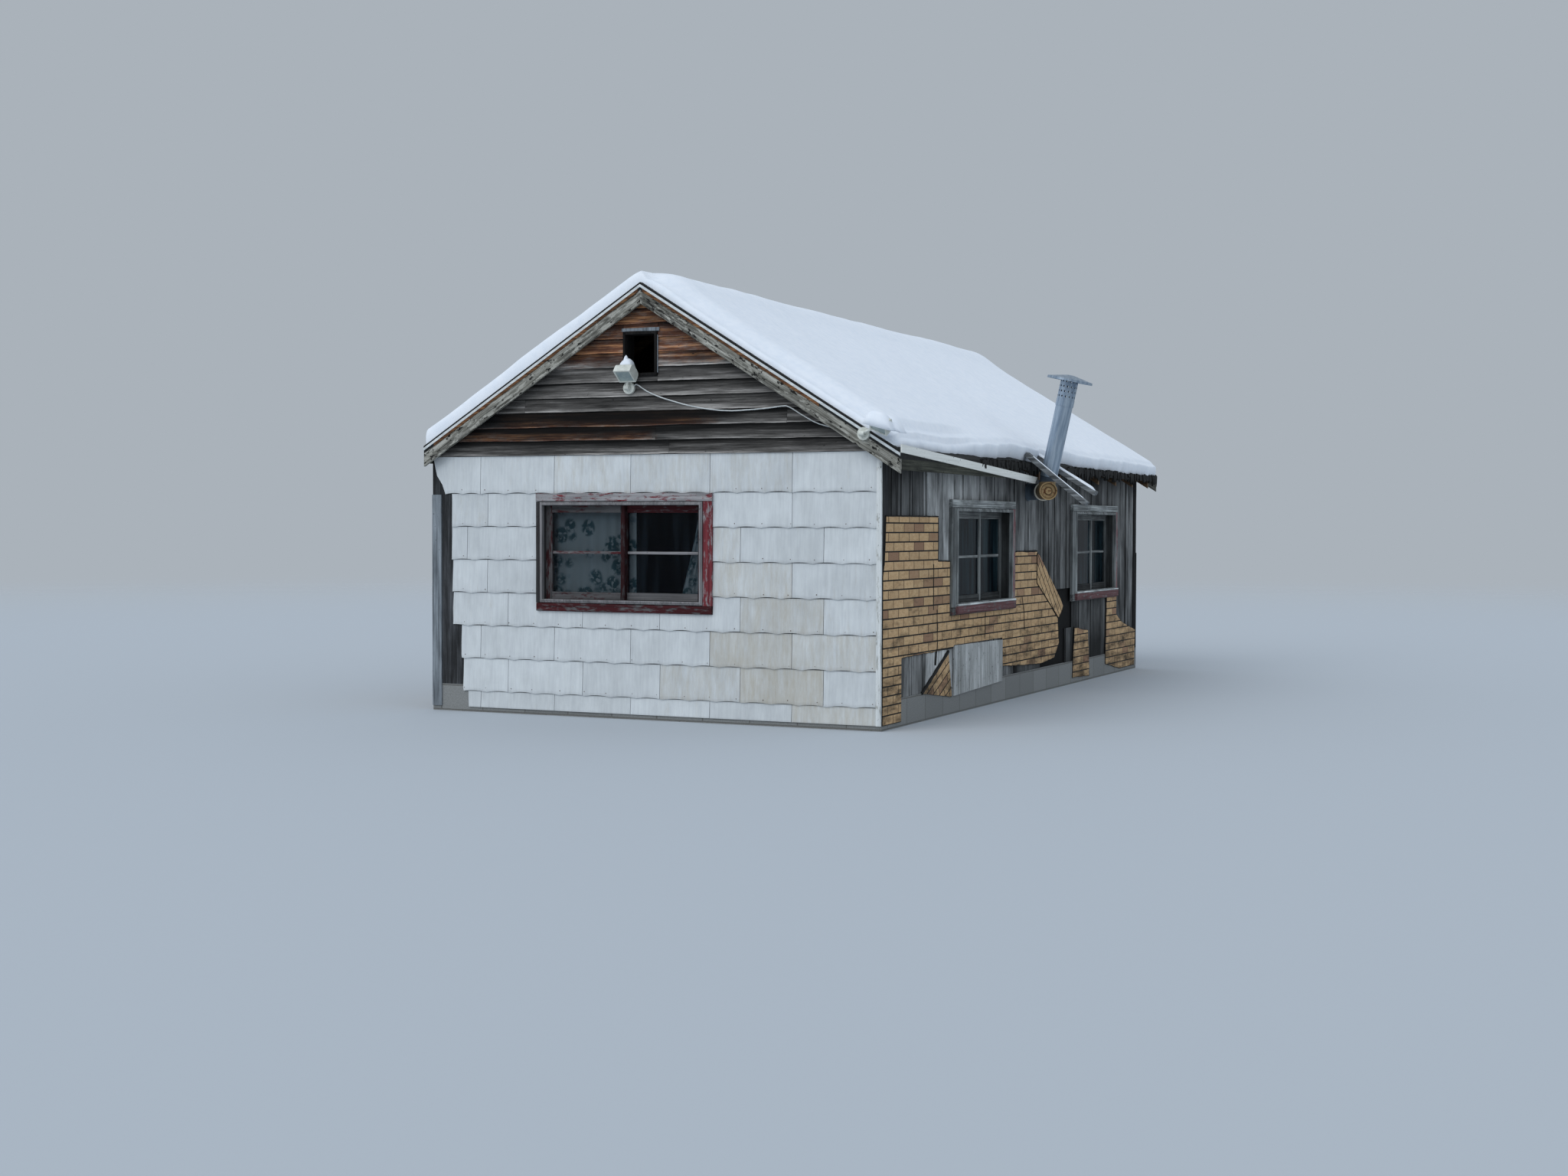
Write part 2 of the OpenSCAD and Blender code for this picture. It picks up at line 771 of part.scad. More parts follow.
module door() {
    y_leaf = y_back - door_t;
    color("sienna") {
        block([-door_w / 2, y_leaf, floor_top + door_gap], [door_w / 2, y_back, floor_top + door_gap + door_h]);
        // Ledges across the inside of the planks
        for (z = [180, door_h / 2, door_h - 180 - ledge_h])
            block([-door_w / 2 + 40, y_leaf - ledge_t, floor_top + z],
                  [door_w / 2 - 40, y_leaf + 1, floor_top + z + ledge_h]);
    }
}

module door_casing() {
    edge = door_hole_w / 2;
    top = floor_top + door_hole_h + door_casing_w;
    color("gray") {
        difference() {
            block([-edge - door_casing_w, y_back, cladding_foot], [edge + door_casing_w, y_back + trim_t, top]);
            block([-door_w / 2, y_back - 1, floor_top + door_gap],
                  [door_w / 2, y_back + trim_t + 1, floor_top + door_gap + door_h]);
        }
        // Threshold in the wall, under the leaf
        block([-edge, y_back - wall_t, foundation_h], [edge, y_back + 1, floor_top]);
    }
}

// Floodlights: a round plate, an arm and a ribbed head

lamp_round = lamp_h / 4;
lamp_bezel = 12;
rib_n = 6;
rib_t = 4;
rib_out = 8;

module lamp_head() {
    r = lamp_round;
    difference() {
        rotate([90, 0, 90]) linear_extrude(lamp_w, center = true) {
            // Side outline of the housing, with a rounded back
            polygon(concat(
                [[-lamp_d / 2, -lamp_h / 2], [lamp_d / 2 - r, -lamp_h / 2]],
                [for (i = [0 : 6]) let (a = -90 + 15 * i)
                    [lamp_d / 2 - r + r * cos(a), -lamp_h / 2 + r + r * sin(a)]],
                [for (i = [0 : 6]) let (a = 15 * i)
                    [lamp_d / 2 - r + r * cos(a), lamp_h / 2 - r + r * sin(a)]],
                [[-lamp_d / 2, lamp_h / 2]]
            ));
        }
        // Recess in front of the lens
        translate([0, -lamp_d / 2, 0])
            cube([lamp_w - 2 * lamp_bezel, 2 * lamp_bezel, lamp_h - 2 * lamp_bezel], center = true);
    }
    // Cooling ribs on the back
    for (i = [0 : rib_n - 1])
        translate([-lamp_w / 2 + (i + 0.5) * lamp_w / rib_n - rib_t / 2, lamp_d / 2 - rib_out, -lamp_h / 2 + r])
            cube([rib_t, 2 * rib_out, lamp_h - 2 * r]);
}

// Arm from the wall plate at the origin to a head beside it, which looks out along -Y and down.
// The roll lowers the head's right side.
module floodlight(head_x, head_z, roll) {
    arm_r = 13;
    head_back = (lamp_d / 2 + rib_out) * cos(lamp_tilt) + lamp_h / 2 * sin(lamp_tilt);
    rotate([90, 0, 0]) cylinder(d = lamp_base_d, h = lamp_base_out / 2);
    rotate([90, 0, 0]) cylinder(r = arm_r, h = lamp_base_out - 2);
    // Knuckle, and the arm from it into the head
    translate([0, -lamp_base_out, 0]) {
        rotate([0, 90, 0]) cylinder(r = arm_r * 1.5, h = arm_r * 3, center = true);
        rotate([0, atan2(head_x, head_z), 0]) cylinder(r = arm_r * 0.8, h = norm([head_x, head_z]));
    }
    translate([head_x, -head_back - lamp_clear, head_z]) rotate([0, roll, 0]) rotate([lamp_tilt, 0, 0])
        lamp_head();
}

lamp_base_out = 46;
lamp_clear = 6;
gable_lamp = [-130, 2585];
eave_lamp_x = x_right - 110;
eave_lamp = [eave_lamp_x, deck_top(eave_lamp_x) - 35];

module floodlight_gable() {
    color("whitesmoke")
        translate([gable_lamp[0], y_front - lap_butt_t, gable_lamp[1]]) floodlight(15, 113, 0);
}

module floodlight_eave() {
    color("whitesmoke")
        translate([eave_lamp[0], y_roof_front, eave_lamp[1]]) floodlight(165, 70, 24);
}

// Cable between the floodlights, in front of the lap boards. Round numbers, chosen by hand,
// as distances from the middle and heights.
cable_off = lap_butt_t + cable_d / 2 + fit_gap;
cable_leave = [cos(25), sin(25)];
cable_route = [
    for (r = [fit_gap, 16]) gable_lamp + (lamp_base_d / 2 + r) * cable_leave,
    [-50, 2604], [-20, 2583], [21, 2558], [75, 2533], [128, 2513], [180, 2495], [233, 2480], [286, 2465],
    [339, 2450], [398, 2436], [456, 2424], [515, 2413], [573, 2405], [660, 2395], [753, 2390], [820, 2391],
    [881, 2394], [945, 2396], [1007, 2400], [1060, 2404], [1108, 2409], [1160, 2415], [1208, 2418], [1240, 2406],
    [1270, 2390], [1325, 2356], [1382, 2324], [1430, 2298], [1481, 2277], [1555, 2256], [1628, 2241], [1700, 2230],
    [1767, 2221]
];
cable_sides = 8;

function cable_point(i) = [cable_route[i][0], y_front - cable_off, cable_route[i][1]];
function cable_dir(i) =
    let (a = cable_point(max(0, i - 1)), b = cable_point(min(len(cable_route) - 1, i + 1)))
    (b - a) / norm(b - a);

module light_cable() {
    rings = len(cable_route);
    pts = [for (i = [0 : rings - 1], k = [0 : cable_sides - 1])
        let (d = cable_dir(i), up = [-d[2], 0, d[0]], a = 360 * k / cable_sides)
        cable_point(i) + cable_d / 2 * (cos(a) * up + sin(a) * [0, 1, 0])];
    sides = [for (i = [0 : rings - 2], k = [0 : cable_sides - 1])
        let (a = i * cable_sides + k, b = i * cable_sides + (k + 1) % cable_sides)
        [a, b, b + cable_sides, a + cable_sides]];
    ends = [[for (k = [cable_sides - 1 : -1 : 0]) k],
            [for (k = [0 : cable_sides - 1]) (rings - 1) * cable_sides + k]];
    color("white") polyhedron(pts, concat(sides, ends));
}

// Stovepipe: an elbow out of the wall, a tee, a leaning pipe with a perforated band, and a rain cap

stub_l = pipe_d / 2 + 55;
band_holes = 14;
band_rows = 4;
collar_l = 60;
stub_under = 3;
plug_over = 4;
plug_l = 26;
nose_l = pipe_d / 2 + 30;
flare_back = pipe_d / 2 + 30;
flare_l = 14;
flare_out = 9;

// A fascia strip long enough to reach the stovepipe lies on this ring
pipe_reach = overhang_front + pipe_y;
pipe_rest_l = pipe_reach + flare_back * sin(elbow_turn) + 50;
strip_rest = atan((strip_top_z - pipe_z - pipe_d / 2 - flare_out - 1) / pipe_rest_l);
strip_slope = strip_l > pipe_reach ? min(strip_sag, strip_rest) : strip_sag;

// The upright pipe's own frame, with its axis along Z and the tee's centre at zero
module up_pipe() {
    translate([x_right + pipe_out, y_front + pipe_y, pipe_z]) rotate([0, pipe_lean, 0]) children();
}

module tube(d, h, t) {
    difference() {
        cylinder(d = d, h = h);
        translate([0, 0, -1]) cylinder(d = d - 2 * t, h = h + 2);
    }
}

// A length of pipe in the run's frame between two of its corners, whose ends are cut at the seams' angles
module mitred(from, to, turn, seam_from, seam_to, d) {
    translate([from[0], from[1], 0]) difference() {
        rotate([0, 0, -turn]) translate([-d, 0, 0]) rotate([0, 90, 0])
            cylinder(d = d, h = norm(to - from) + 2 * d);
        rotate([0, 0, -seam_from]) translate([-4 * d, -2 * d, -2 * d]) cube(4 * d);
        translate([to[0] - from[0], to[1] - from[1], 0]) rotate([0, 0, -seam_to])
            translate([0, -2 * d, -2 * d]) cube(4 * d);
    }
}

// The level run from the wall through the elbow's gores and the tee, with its origin on the wall's face
module level_run(d, inwards, past_tee) {
    mitred([-inwards, 0], bend(0), 0, 0, turn_step / 2, d);
    for (i = [1 : gore_n - 1])
        mitred(bend(i - 1), bend(i), i * turn_step, (i - 0.5) * turn_step, (i + 0.5) * turn_step, d);
    mitred(bend(gore_n - 1), tee_at + past_tee * run_dir, elbow_turn, elbow_turn - turn_step / 2, elbow_turn, d);
}

module at_wall_hole() {
    translate([x_right, pipe_wall_y, pipe_z]) children();
}

// The end of the run, with Z along it and the tee's centre at zero
module along_run() {
    translate([x_right + pipe_out, y_front + pipe_y, pipe_z]) rotate([0, 0, -elbow_turn]) rotate([0, 90, 0])
        children();
}

module stovepipe_tee() {
    plug_r = pipe_d / 2 + plug_over;
    stub_d = pipe_d - 2 * stub_under;
    color("peru") difference() {
        union() {
            at_wall_hole() level_run(pipe_d, wall_t, nose_l);
            up_pipe() cylinder(d = stub_d, h = stub_l);
            // Collar on the wall, and the flared ring where the tee slips over the run
            at_wall_hole() rotate([0, 90, 0]) cylinder(d = pipe_d + 16, h = 14);
            along_run() {
                translate([0, 0, -flare_back]) cylinder(d = pipe_d + 2 * flare_out, h = flare_l);
                // Plug over the tee's open end
                translate([0, 0, nose_l - plug_l]) cylinder(r = plug_r, h = plug_l + 4);
            }
        }
        at_wall_hole() level_run(pipe_d - 2 * pipe_t, wall_t + 1, nose_l - plug_l / 2);
        up_pipe() cylinder(d = stub_d - 2 * pipe_t, h = stub_l + 1);
        // Dish round the plug's raised middle
        along_run() translate([0, 0, nose_l]) rotate_extrude()
            polygon([[0, 0], [28, 0], [34, -8], [plug_r - 16, -8], [plug_r - 7, 5], [0, 5]]);
    }
}

module stovepipe() {
    color("lightsteelblue") up_pipe() {
        translate([0, 0, stub_l]) tube(pipe_d, pipe_l, pipe_t);
        // Plain ring that clasps the pipe's top
        translate([0, 0, stub_l + pipe_l - collar_l]) tube(pipe_d + 10, collar_l, 5 + pipe_t);
        // Perforated band
        difference() {
            translate([0, 0, stub_l + pipe_l]) tube(pipe_d + 6, band_l, 3 + pipe_t);
            for (row = [0 : band_rows - 1], k = [0 : band_holes - 1])
                translate([0, 0, stub_l + pipe_l + band_l * (row + 0.6) / band_rows])
                    rotate([0, 90, (k + (row % 2) / 2) * 360 / band_holes])
                        translate([0, 0, pipe_d / 2 - 10]) cylinder(d = 16, h = 20);
        }
    }
}

module stovepipe_cap() {
    color("lightsteelblue") up_pipe() translate([0, 0, stub_l + pipe_l + band_l]) rotate_extrude()
        polygon([[0, 0], [cap_d / 2 - 4, 0], [cap_d / 2, -14], [cap_d / 2 + 2, -14], [cap_d / 2, 6], [30, 40], [0, 42]]);
}

// Two boards that lie flat in the snow and reach past the eave, one on each side of the pipe

brace_gap = 12;
brace_lift = 0.39 * snow_t;
nose_reach = (nose_l + 4) * sin(elbow_turn) + (pipe_d / 2 + plug_over) * cos(elbow_turn);
far_brace_y = y_front + pipe_y + pipe_d / 2 + brace_gap;
near_brace_y = y_front + pipe_y - nose_reach - brace_gap / 2 - brace_w;
far_brace_in = 330;
near_brace_in = 90;

module far_brace() {
    translate([x_eave_right, far_brace_y, deck_top(x_eave_right)]) rotate([0, roof_pitch, 0])
        translate([-far_brace_in, 0, brace_lift]) cube([far_brace_in + brace_reach / pitch_cos, brace_w, brace_h]);
}

module near_brace() {
    translate([x_eave_right, near_brace_y, deck_top(x_eave_right)]) rotate([0, near_brace_pitch, 0])
        translate([-near_brace_in, 0, brace_lift])
            cube([near_brace_in + brace_reach / cos(near_brace_pitch), brace_w, brace_h]);
}

module pipe_braces() {
    color("gray") {
        near_brace();
        far_brace();
    }
}

foundation_end(y_front);  // foundation_front
foundation_end(y_back - foundation_t);  // foundation_back
foundation_side(x_left);  // foundation_left
foundation_side(x_right - foundation_t);  // foundation_right
floor_panel();  // floor
front_wall();
back_wall();
left_wall();
right_wall();
front_gable();
back_gable();
rafters_left();
rafters_right();
ridge_board();
roof_left();
roof_right();
roof_snow_left();
roof_snow_right();
rake_board(x_eave_left, y_roof_front);  // front_rake_left
rake_board(x_eave_right, y_roof_front);  // front_rake_right
rake_board(x_eave_left, y_roof_back - trim_t);  // back_rake_left
rake_board(x_eave_right, y_roof_back - trim_t);  // back_rake_right
fascia_left();
fascia_right();
loose_fascia();
front_shingles();
corner_trim();
corner_board();
brick_siding_front();
brick_siding_rear();
brick_siding_loose();
brick_siding_left();
brick_siding_back();
plywood_patch();
front_window();
front_window_glass();
front_curtains();
right_windows();
right_window_glass();
left_windows();
left_window_glass();
door();
door_casing();
gable_vent();
floodlight_gable();
floodlight_eave();
light_cable();
stovepipe_tee();
stovepipe();
stovepipe_cap();
pipe_braces();
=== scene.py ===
"""Dresses a small timber fishing hut that stands in winter: its cladding, windows, roof snow and stovepipe.

Every piece is built in metres in the hut's own frame: the front gable wall faces -Y, the hut runs back
along +Y, and the origin lies on the ground in the middle of the front foundation wall.
"""

import json
import logging
import math
from dataclasses import dataclass, field
from enum import Enum
from functools import partial
from random import Random
from typing import Any, Callable, Mapping, Optional, Sequence, Union

import bmesh
import bpy
from mathutils import Matrix, Vector, noise

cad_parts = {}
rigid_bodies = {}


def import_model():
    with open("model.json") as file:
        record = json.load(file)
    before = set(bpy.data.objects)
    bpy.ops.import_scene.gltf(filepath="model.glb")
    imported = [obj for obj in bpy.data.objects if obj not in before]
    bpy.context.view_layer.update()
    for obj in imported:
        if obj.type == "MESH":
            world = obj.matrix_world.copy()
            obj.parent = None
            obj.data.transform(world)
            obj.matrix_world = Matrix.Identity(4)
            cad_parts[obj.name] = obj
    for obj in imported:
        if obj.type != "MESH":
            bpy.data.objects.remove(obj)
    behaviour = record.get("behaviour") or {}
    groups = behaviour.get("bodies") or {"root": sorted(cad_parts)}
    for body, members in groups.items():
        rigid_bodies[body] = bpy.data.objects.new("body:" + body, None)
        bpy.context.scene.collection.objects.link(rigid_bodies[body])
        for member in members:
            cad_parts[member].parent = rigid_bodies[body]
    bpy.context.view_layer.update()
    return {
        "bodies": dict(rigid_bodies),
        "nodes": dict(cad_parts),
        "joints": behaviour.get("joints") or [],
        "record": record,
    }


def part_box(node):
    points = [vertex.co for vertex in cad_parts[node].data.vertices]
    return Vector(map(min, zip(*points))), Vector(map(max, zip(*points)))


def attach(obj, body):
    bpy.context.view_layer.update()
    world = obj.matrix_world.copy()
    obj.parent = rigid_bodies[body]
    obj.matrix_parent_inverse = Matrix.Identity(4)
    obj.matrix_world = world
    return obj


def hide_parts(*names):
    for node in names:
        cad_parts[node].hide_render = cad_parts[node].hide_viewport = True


LOG = logging.getLogger("fishing_hut")
BODY = "root"
MM = 0.001
UP = Vector((0, 0, 1))
LEVEL = Vector((1, 0, 0))
LEFTWARD = Vector((-1, 0, 0))
# Sizes that several pieces share
WALL = 0.12
FOUNDATION_TOP = 0.22
CLADDING_FOOT = 0.04
GABLE_FOOT = 2.07
LAP_BUTT = 18 * MM
BRICK = 213 * MM
COURSE = 71.5 * MM
SIDE_WINDOWS = (2.29, 5.71)
# Settings of a mix of two colours, plain and multiplying
BLEND = {"data_type": "RGBA"}
TIMES = {"data_type": "RGBA", "blend_type": "MULTIPLY"}

Node = bpy.types.Node
Piece = bpy.types.Object
Material = bpy.types.Material
Adder = Callable[..., Node]
Looks = tuple[dict[str, Any], Optional[tuple[Any, float, float]]]
Pair = tuple[float, float]
Triple = tuple[float, float, float]
Rect = tuple[float, float, float, float]
Colours = tuple[str, str, str]
Outline = Sequence[Pair]
Amount = Union[float, Callable[[Vector], float]]
Shade = Union[float, Callable[[Vector], float], Sequence[float]]


def srgb(code: str) -> Rect:
    """Turns an sRGB hex colour, written as '#rrggbb', into linear red, green, blue and an alpha of 1."""
    parts = [int(code[i:i + 2], 16) / 255 for i in (1, 3, 5)]
    linear = [p / 12.92 if p <= 0.04045 else ((p + 0.055) / 1.055) ** 2.4 for p in parts]
    return (linear[0], linear[1], linear[2], 1.0)


def feed(socket: bpy.types.NodeSocket, value: Any) -> None:
    """Gives an input socket its value.

    Args:
        socket: The input.
        value: A node, whose first live output is linked, an output socket, a hex colour or a plain value.
    """
    if isinstance(value, Node):
        value = next(s for s in value.outputs if s.enabled)
    if isinstance(value, bpy.types.NodeSocket):
        socket.id_data.links.new(value, socket)
    else:
        socket.default_value = srgb(value) if isinstance(value, str) and value.startswith("#") else value


def add_node(tree: bpy.types.NodeTree, kind: str, inputs: Optional[Mapping[Any, Any]] = None,
             **settings: Any) -> Node:
    """Adds a node with its settings and links.

    Args:
        tree: The tree that gets the node.
        kind: The node's type name, without ShaderNode in a tree of shaders.
        inputs: What each input gets, by its name or its number.
        settings: The node's properties; stops fills a colour ramp with (place, grey or hex colour) pairs.

    Returns:
        The node.
    """
    made = tree.nodes.new("ShaderNode" + kind if tree.type == "SHADER" else kind)
    stops = settings.pop("stops", ())
    for name, value in settings.items():
        setattr(made, name, value)
    if stops:
        elements = made.color_ramp.elements
        elements.remove(elements[1])
        for number, (place, colour) in enumerate(stops):
            element = elements.new(place) if number else elements[0]
            element.position = place
            element.color = srgb(colour) if isinstance(colour, str) else (colour, colour, colour, 1)
    for name, value in (inputs or {}).items():
        named = (s for s in made.inputs if s.enabled and s.name == name)
        feed(made.inputs[name] if isinstance(name, int) else next(named), value)
    return made


def surface(name: str) -> tuple[Material, Adder]:
    """Starts a material.

    Args:
        name: The material's name.

    Returns:
        The material and the function that adds nodes to it.
    """
    made = bpy.data.materials.new(name)
    made.use_nodes = True
    made.node_tree.nodes.clear()
    return made, partial(add_node, made.node_tree)


def sized_noise(add: Adder, place: Any, size_mm: Sequence[float], detail: float = 4.0,
                turn: Triple = (0.0, 0.0, 0.0), rough: float = 0.6) -> Node:
    """Adds noise whose blobs have a real size along each axis.

    Args:
        add: Adds a node to the material.
        place: The coordinates to read.
        size_mm: The blobs' size along X, Y and Z in millimetres.
        detail: How many finer layers the noise has.
        turn: The pattern's rotation in radians.
        rough: How strong the finer layers are.

    Returns:
        The noise node, whose first output is from 0 to 1.
    """
    scale = tuple(s * MM for s in size_mm)
    mapped = add("Mapping", {"Vector": place, "Rotation": turn, "Scale": scale}, vector_type="TEXTURE")
    return add("TexNoise", {"Vector": mapped, "Scale": 1.0, "Detail": detail, "Roughness": rough})


def attribute(add: Adder, name: str) -> bpy.types.NodeSocket:
    """Reads a mesh attribute as a number, which is 0 where a mesh has none."""
    return add("Attribute", attribute_name=name).outputs["Fac"]


def still_place(add: Adder) -> bpy.types.NodeSocket:
    """Gives Object coordinates."""
    return add("TexCoord").outputs["Object"]


def shifted_place(add: Adder) -> Node:
    """Gives Object coordinates that are moved for each board by its tone, so that no two boards match."""
    return add("VectorMath", {0: attribute(add, "tone"), 1: (31.0, 17.0, 23.0), 2: still_place(add)},
               operation="MULTIPLY_ADD")


def toned(add: Adder, colour: Any, strength: float) -> Node:
    """Makes a colour lighter or darker by the board's tone and by the point's shade.

    Args:
        add: Adds a node to the material.
        colour: The colour's node.
        strength: How much a tone of 1 adds to the value.

    Returns:
        The node that gives the changed colour.
    """
    value = add("Math", {0: attribute(add, "tone"), 1: strength, 2: 1.0}, operation="MULTIPLY_ADD")
    shaded = add("Math", {0: value, 1: attribute(add, "shade")})
    floor = add("Math", {0: shaded, 1: 0.05}, operation="MAXIMUM")
    return add("HueSaturation", {"Color": colour, "Value": floor})


class Along(Enum):
    """The axis that a board's grain follows."""

    X = 0
    Y = 1
    Z = 2

    def sizes(self, long_mm: float, short_mm: float) -> tuple[float, ...]:
        """Gives a grain's size along X, Y and Z from its long and its short measure."""
        return tuple(long_mm if axis == self.value else short_mm for axis in range(3))


@dataclass(frozen=True)
class Finish:
    """A finish of the hut, which is made once as a material of its name."""

    name: str

    def looks(self, add: Adder) -> Looks:
        """Adds the nodes; gives the shader's inputs, and the relief's height, strength and depth in mm."""
        raise NotImplementedError

    def build(self) -> Material:
        """Builds the material.

        Returns:
            The material.
        """
        made, add = surface(self.name)
        inputs, relief = self.looks(add)
        if relief:
            height, strength, depth_mm = relief
            bump = {"Height": height, "Strength": strength, "Distance": depth_mm * MM}
            inputs["Normal"] = add("Bump", bump)
        add("OutputMaterial", {"Surface": add("BsdfPrincipled", inputs)})
        return made


@dataclass(frozen=True)
class Timber(Finish):
    """Sawn softwood left to the weather: grey grain, black checks, stains, and what is left of a coat.

    The eye gets dull, dry wood with lines along the grain, and a coat that has flaked where the wear
    attribute is low. The wood and the coat each have a dark, a middle and a pale colour.
    """

    wood: Colours
    along: Along
    coat: Colours = ("#4a1d22", "#69292f", "#8c3f43")
    coat_share: float = 0.0
    flake_edge: float = 0.1
    spots: str = "#1b1a18"
    spot_share: float = 0.0
    spot_mm: Pair = (34, 20)
    pitch: float = 0.0
    grain_mm: float = 9.0
    contrast: float = 1.0
    lines: float = 0.6
    blotch_mm: Pair = (420, 130)
    blotch: float = 0.42

    def looks(self, add: Adder) -> Looks:
        """Lays checks and stains over the grain, then the coat, then spots.

        Args:
            add: Adds a node to the material.

        Returns:
            The shader's inputs and the relief.
        """
        place, turn, sizes = shifted_place(add), (0.0, self.pitch, 0.0), self.along.sizes
        grain = sized_noise(add, place, sizes(700, self.grain_mm * 2), 7.0, turn, 0.72)
        fine = sized_noise(add, place, sizes(160, self.grain_mm / 2), 3.0, turn)
        stains = sized_noise(add, place, sizes(*self.blotch_mm), 4.0, turn)
        flakes = sized_noise(add, place, sizes(110, 26), 6.0, turn, 0.7)
        specks = sized_noise(add, place, sizes(*self.spot_mm), 4.0, turn, 0.7)
        stations = (0.5 - 0.16 / self.contrast, 0.5, 0.5 + 0.16 / self.contrast)
        wood, paint = (add("ValToRGB", {"Fac": grain}, stops=[*zip(stations, colours)])
                       for colours in (self.wood, self.coat))
        checks = add("ValToRGB", {"Fac": fine}, stops=[(0.32, 0.45), (0.5, 1.0)])
        lined = add("Mix", {"Factor": self.lines, "A": wood, "B": checks}, **TIMES)
        dark = add("ValToRGB", {"Fac": stains}, stops=[(0.36, self.blotch), (0.6, 1.12)])
        stained = add("Mix", {"Factor": 0.85, "A": lined, "B": dark}, **TIMES)
        left = add("Math", {0: attribute(add, "wear"), 1: self.coat_share})
        reach = add("Math", {0: left, 1: flakes})
        edge = self.flake_edge / 2
        coat = add("MapRange", {"Value": reach, "From Min": 0.93 - edge, "From Max": 0.93 + edge})
        coated = add("Mix", {"Factor": coat, "A": stained, "B": paint}, **BLEND)
        share = self.spot_share
        dots = add("MapRange", {"Value": specks, "From Min": 0.66 - share, "From Max": 0.70 - share})
        spotted = add("Mix", {"Factor": dots, "A": coated, "B": self.spots}, **BLEND)
        height = add("Math", {0: grain, 1: fine})
        raised = add("Math", {0: coat, 1: 0.5, 2: height}, operation="MULTIPLY_ADD")
        inputs = {"Base Color": toned(add, spotted, 0.8), "Roughness": 0.86, "Specular IOR Level": 0.25}
        return inputs, (raised, 0.5, 3)


@dataclass(frozen=True)
class ShingleCement(Finish):
    """Fibre-cement shingles, pressed with a combed grain: chalky, with upright streaks and water stains."""

    name: str = "combed_fibre_cement"
    pale: str = "#d6dadb"
    streak: str = "#ccd0d2"
    stain: str = "#a89d86"

    def looks(self, add: Adder) -> Looks:
        """Stains the streaked shingle where its wear is high.

        Args:
            add: Adds a node to the material.

        Returns:
            The shader's inputs and the relief.
        """
        place = shifted_place(add)
        # The real comb lines stand 4 mm apart; the colour streaks are drawn wider, so that they show
        comb = sized_noise(add, place, (5, 5, 420), 3.0)
        streaks = sized_noise(add, place, (22, 22, 300), 5.0, rough=0.7)
        wide = sized_noise(add, place, (160, 160, 260), 3.0)
        base = add("ValToRGB", {"Fac": streaks}, stops=[(0.36, self.streak), (0.6, self.pale)])
        soft = add("ValToRGB", {"Fac": wide}, stops=[(0.3, 0.86), (0.65, 1.0)])
        shaded = add("Mix", {"Factor": 1.0, "A": base, "B": soft}, **TIMES)
        runs = sized_noise(add, place, (48, 48, 260), 5.0, rough=0.75)
        reach = add("Math", {0: attribute(add, "wear"), 1: runs})
        mask = add("MapRange", {"Value": reach, "From Min": 0.68, "From Max": 1.25, "To Max": 0.72})
        stained = add("Mix", {"Factor": mask, "A": shaded, "B": self.stain}, **BLEND)
        inputs = {"Base Color": toned(add, stained, 0.22), "Roughness": 0.78, "Specular IOR Level": 0.3}
        return inputs, (comb, 0.4, 1.5)


@dataclass(frozen=True)
class SettledSnow(Finish):
    """Snow that has lain for days: matt and almost white, with a soft crust, a cool cast, and a bluer painted
    shade in the crust's low spots.
    """

    name: str = "settled_snow"
    hollow: str = "#e6ecf4"
    colour: str = "#eef2f8"

    def looks(self, add: Adder) -> Looks:
        """Tints the crust's low spots with painted shade.

        Args:
            add: Adds a node to the material.

        Returns:
            The shader's inputs and the relief.
        """
        crust = sized_noise(add, still_place(add), (60, 60, 60), 6.0, rough=0.55)
        # Painted shade: the crust's low spots, where the relief also dips, get the bluer colour
        tint = add("ValToRGB", {"Fac": crust}, stops=[(0.3, self.hollow), (0.62, self.colour)])
        return {"Base Color": tint, "Roughness": 0.7, "Specular IOR Level": 0.2}, (crust, 0.16, 6)


@dataclass(frozen=True)
class BrickGranules(Finish):
    """Asphalt sheet faced with buff mineral granules: matt, sandy and dirty, redder where wear is high."""

    name: str = "buff_granules"
    buff: str = "#c3a077"
    pale: str = "#d5b58b"
    red: str = "#96745e"
    dirt: str = "#3a342b"

    def looks(self, add: Adder) -> Looks:
        """Lays red and grit over the buff, then dirt that thickens towards the ground.

        Args:
            add: Adds a node to the material.

        Returns:
            The shader's inputs and the relief.
        """
        place, still = shifted_place(add), still_place(add)
        # Real granules are 1 to 2 mm across; these are drawn at 5 mm, so that they show
        grit = sized_noise(add, place, (5, 5, 5), 2.0, rough=0.8)
        smear = sized_noise(add, place, (60, 60, 25), 4.0)
        base = add("ValToRGB", {"Fac": smear}, stops=[(0.35, self.buff), (0.65, self.pale)])
        reddened = add("Mix", {"Factor": attribute(add, "wear"), "A": base, "B": self.red}, **BLEND)
        speck = add("ValToRGB", {"Fac": grit}, stops=[(0.3, 0.55), (0.6, 1.1)])
        gritty = add("Mix", {"Factor": 0.7, "A": reddened, "B": speck}, **TIMES)
        height = add("SeparateXYZ", {"Vector": still}).outputs["Z"]
        low = add("MapRange", {"Value": height, "From Min": 1.35, "From Max": 0.25, "To Min": -0.12,
                               "To Max": 0.12})
        dirty = add("Math", {0: sized_noise(add, still, (330, 330, 90), 6.0, rough=0.68), 1: low})
        mask = add("MapRange", {"Value": dirty, "From Min": 0.52, "From Max": 0.74, "To Max": 0.85})
        soiled = add("Mix", {"Factor": mask, "A": gritty, "B": self.dirt}, **BLEND)
        inputs = {"Base Color": toned(add, soiled, 0.5), "Roughness": 0.92, "Specular IOR Level": 0.15}
        return inputs, (grit, 0.5, 2)


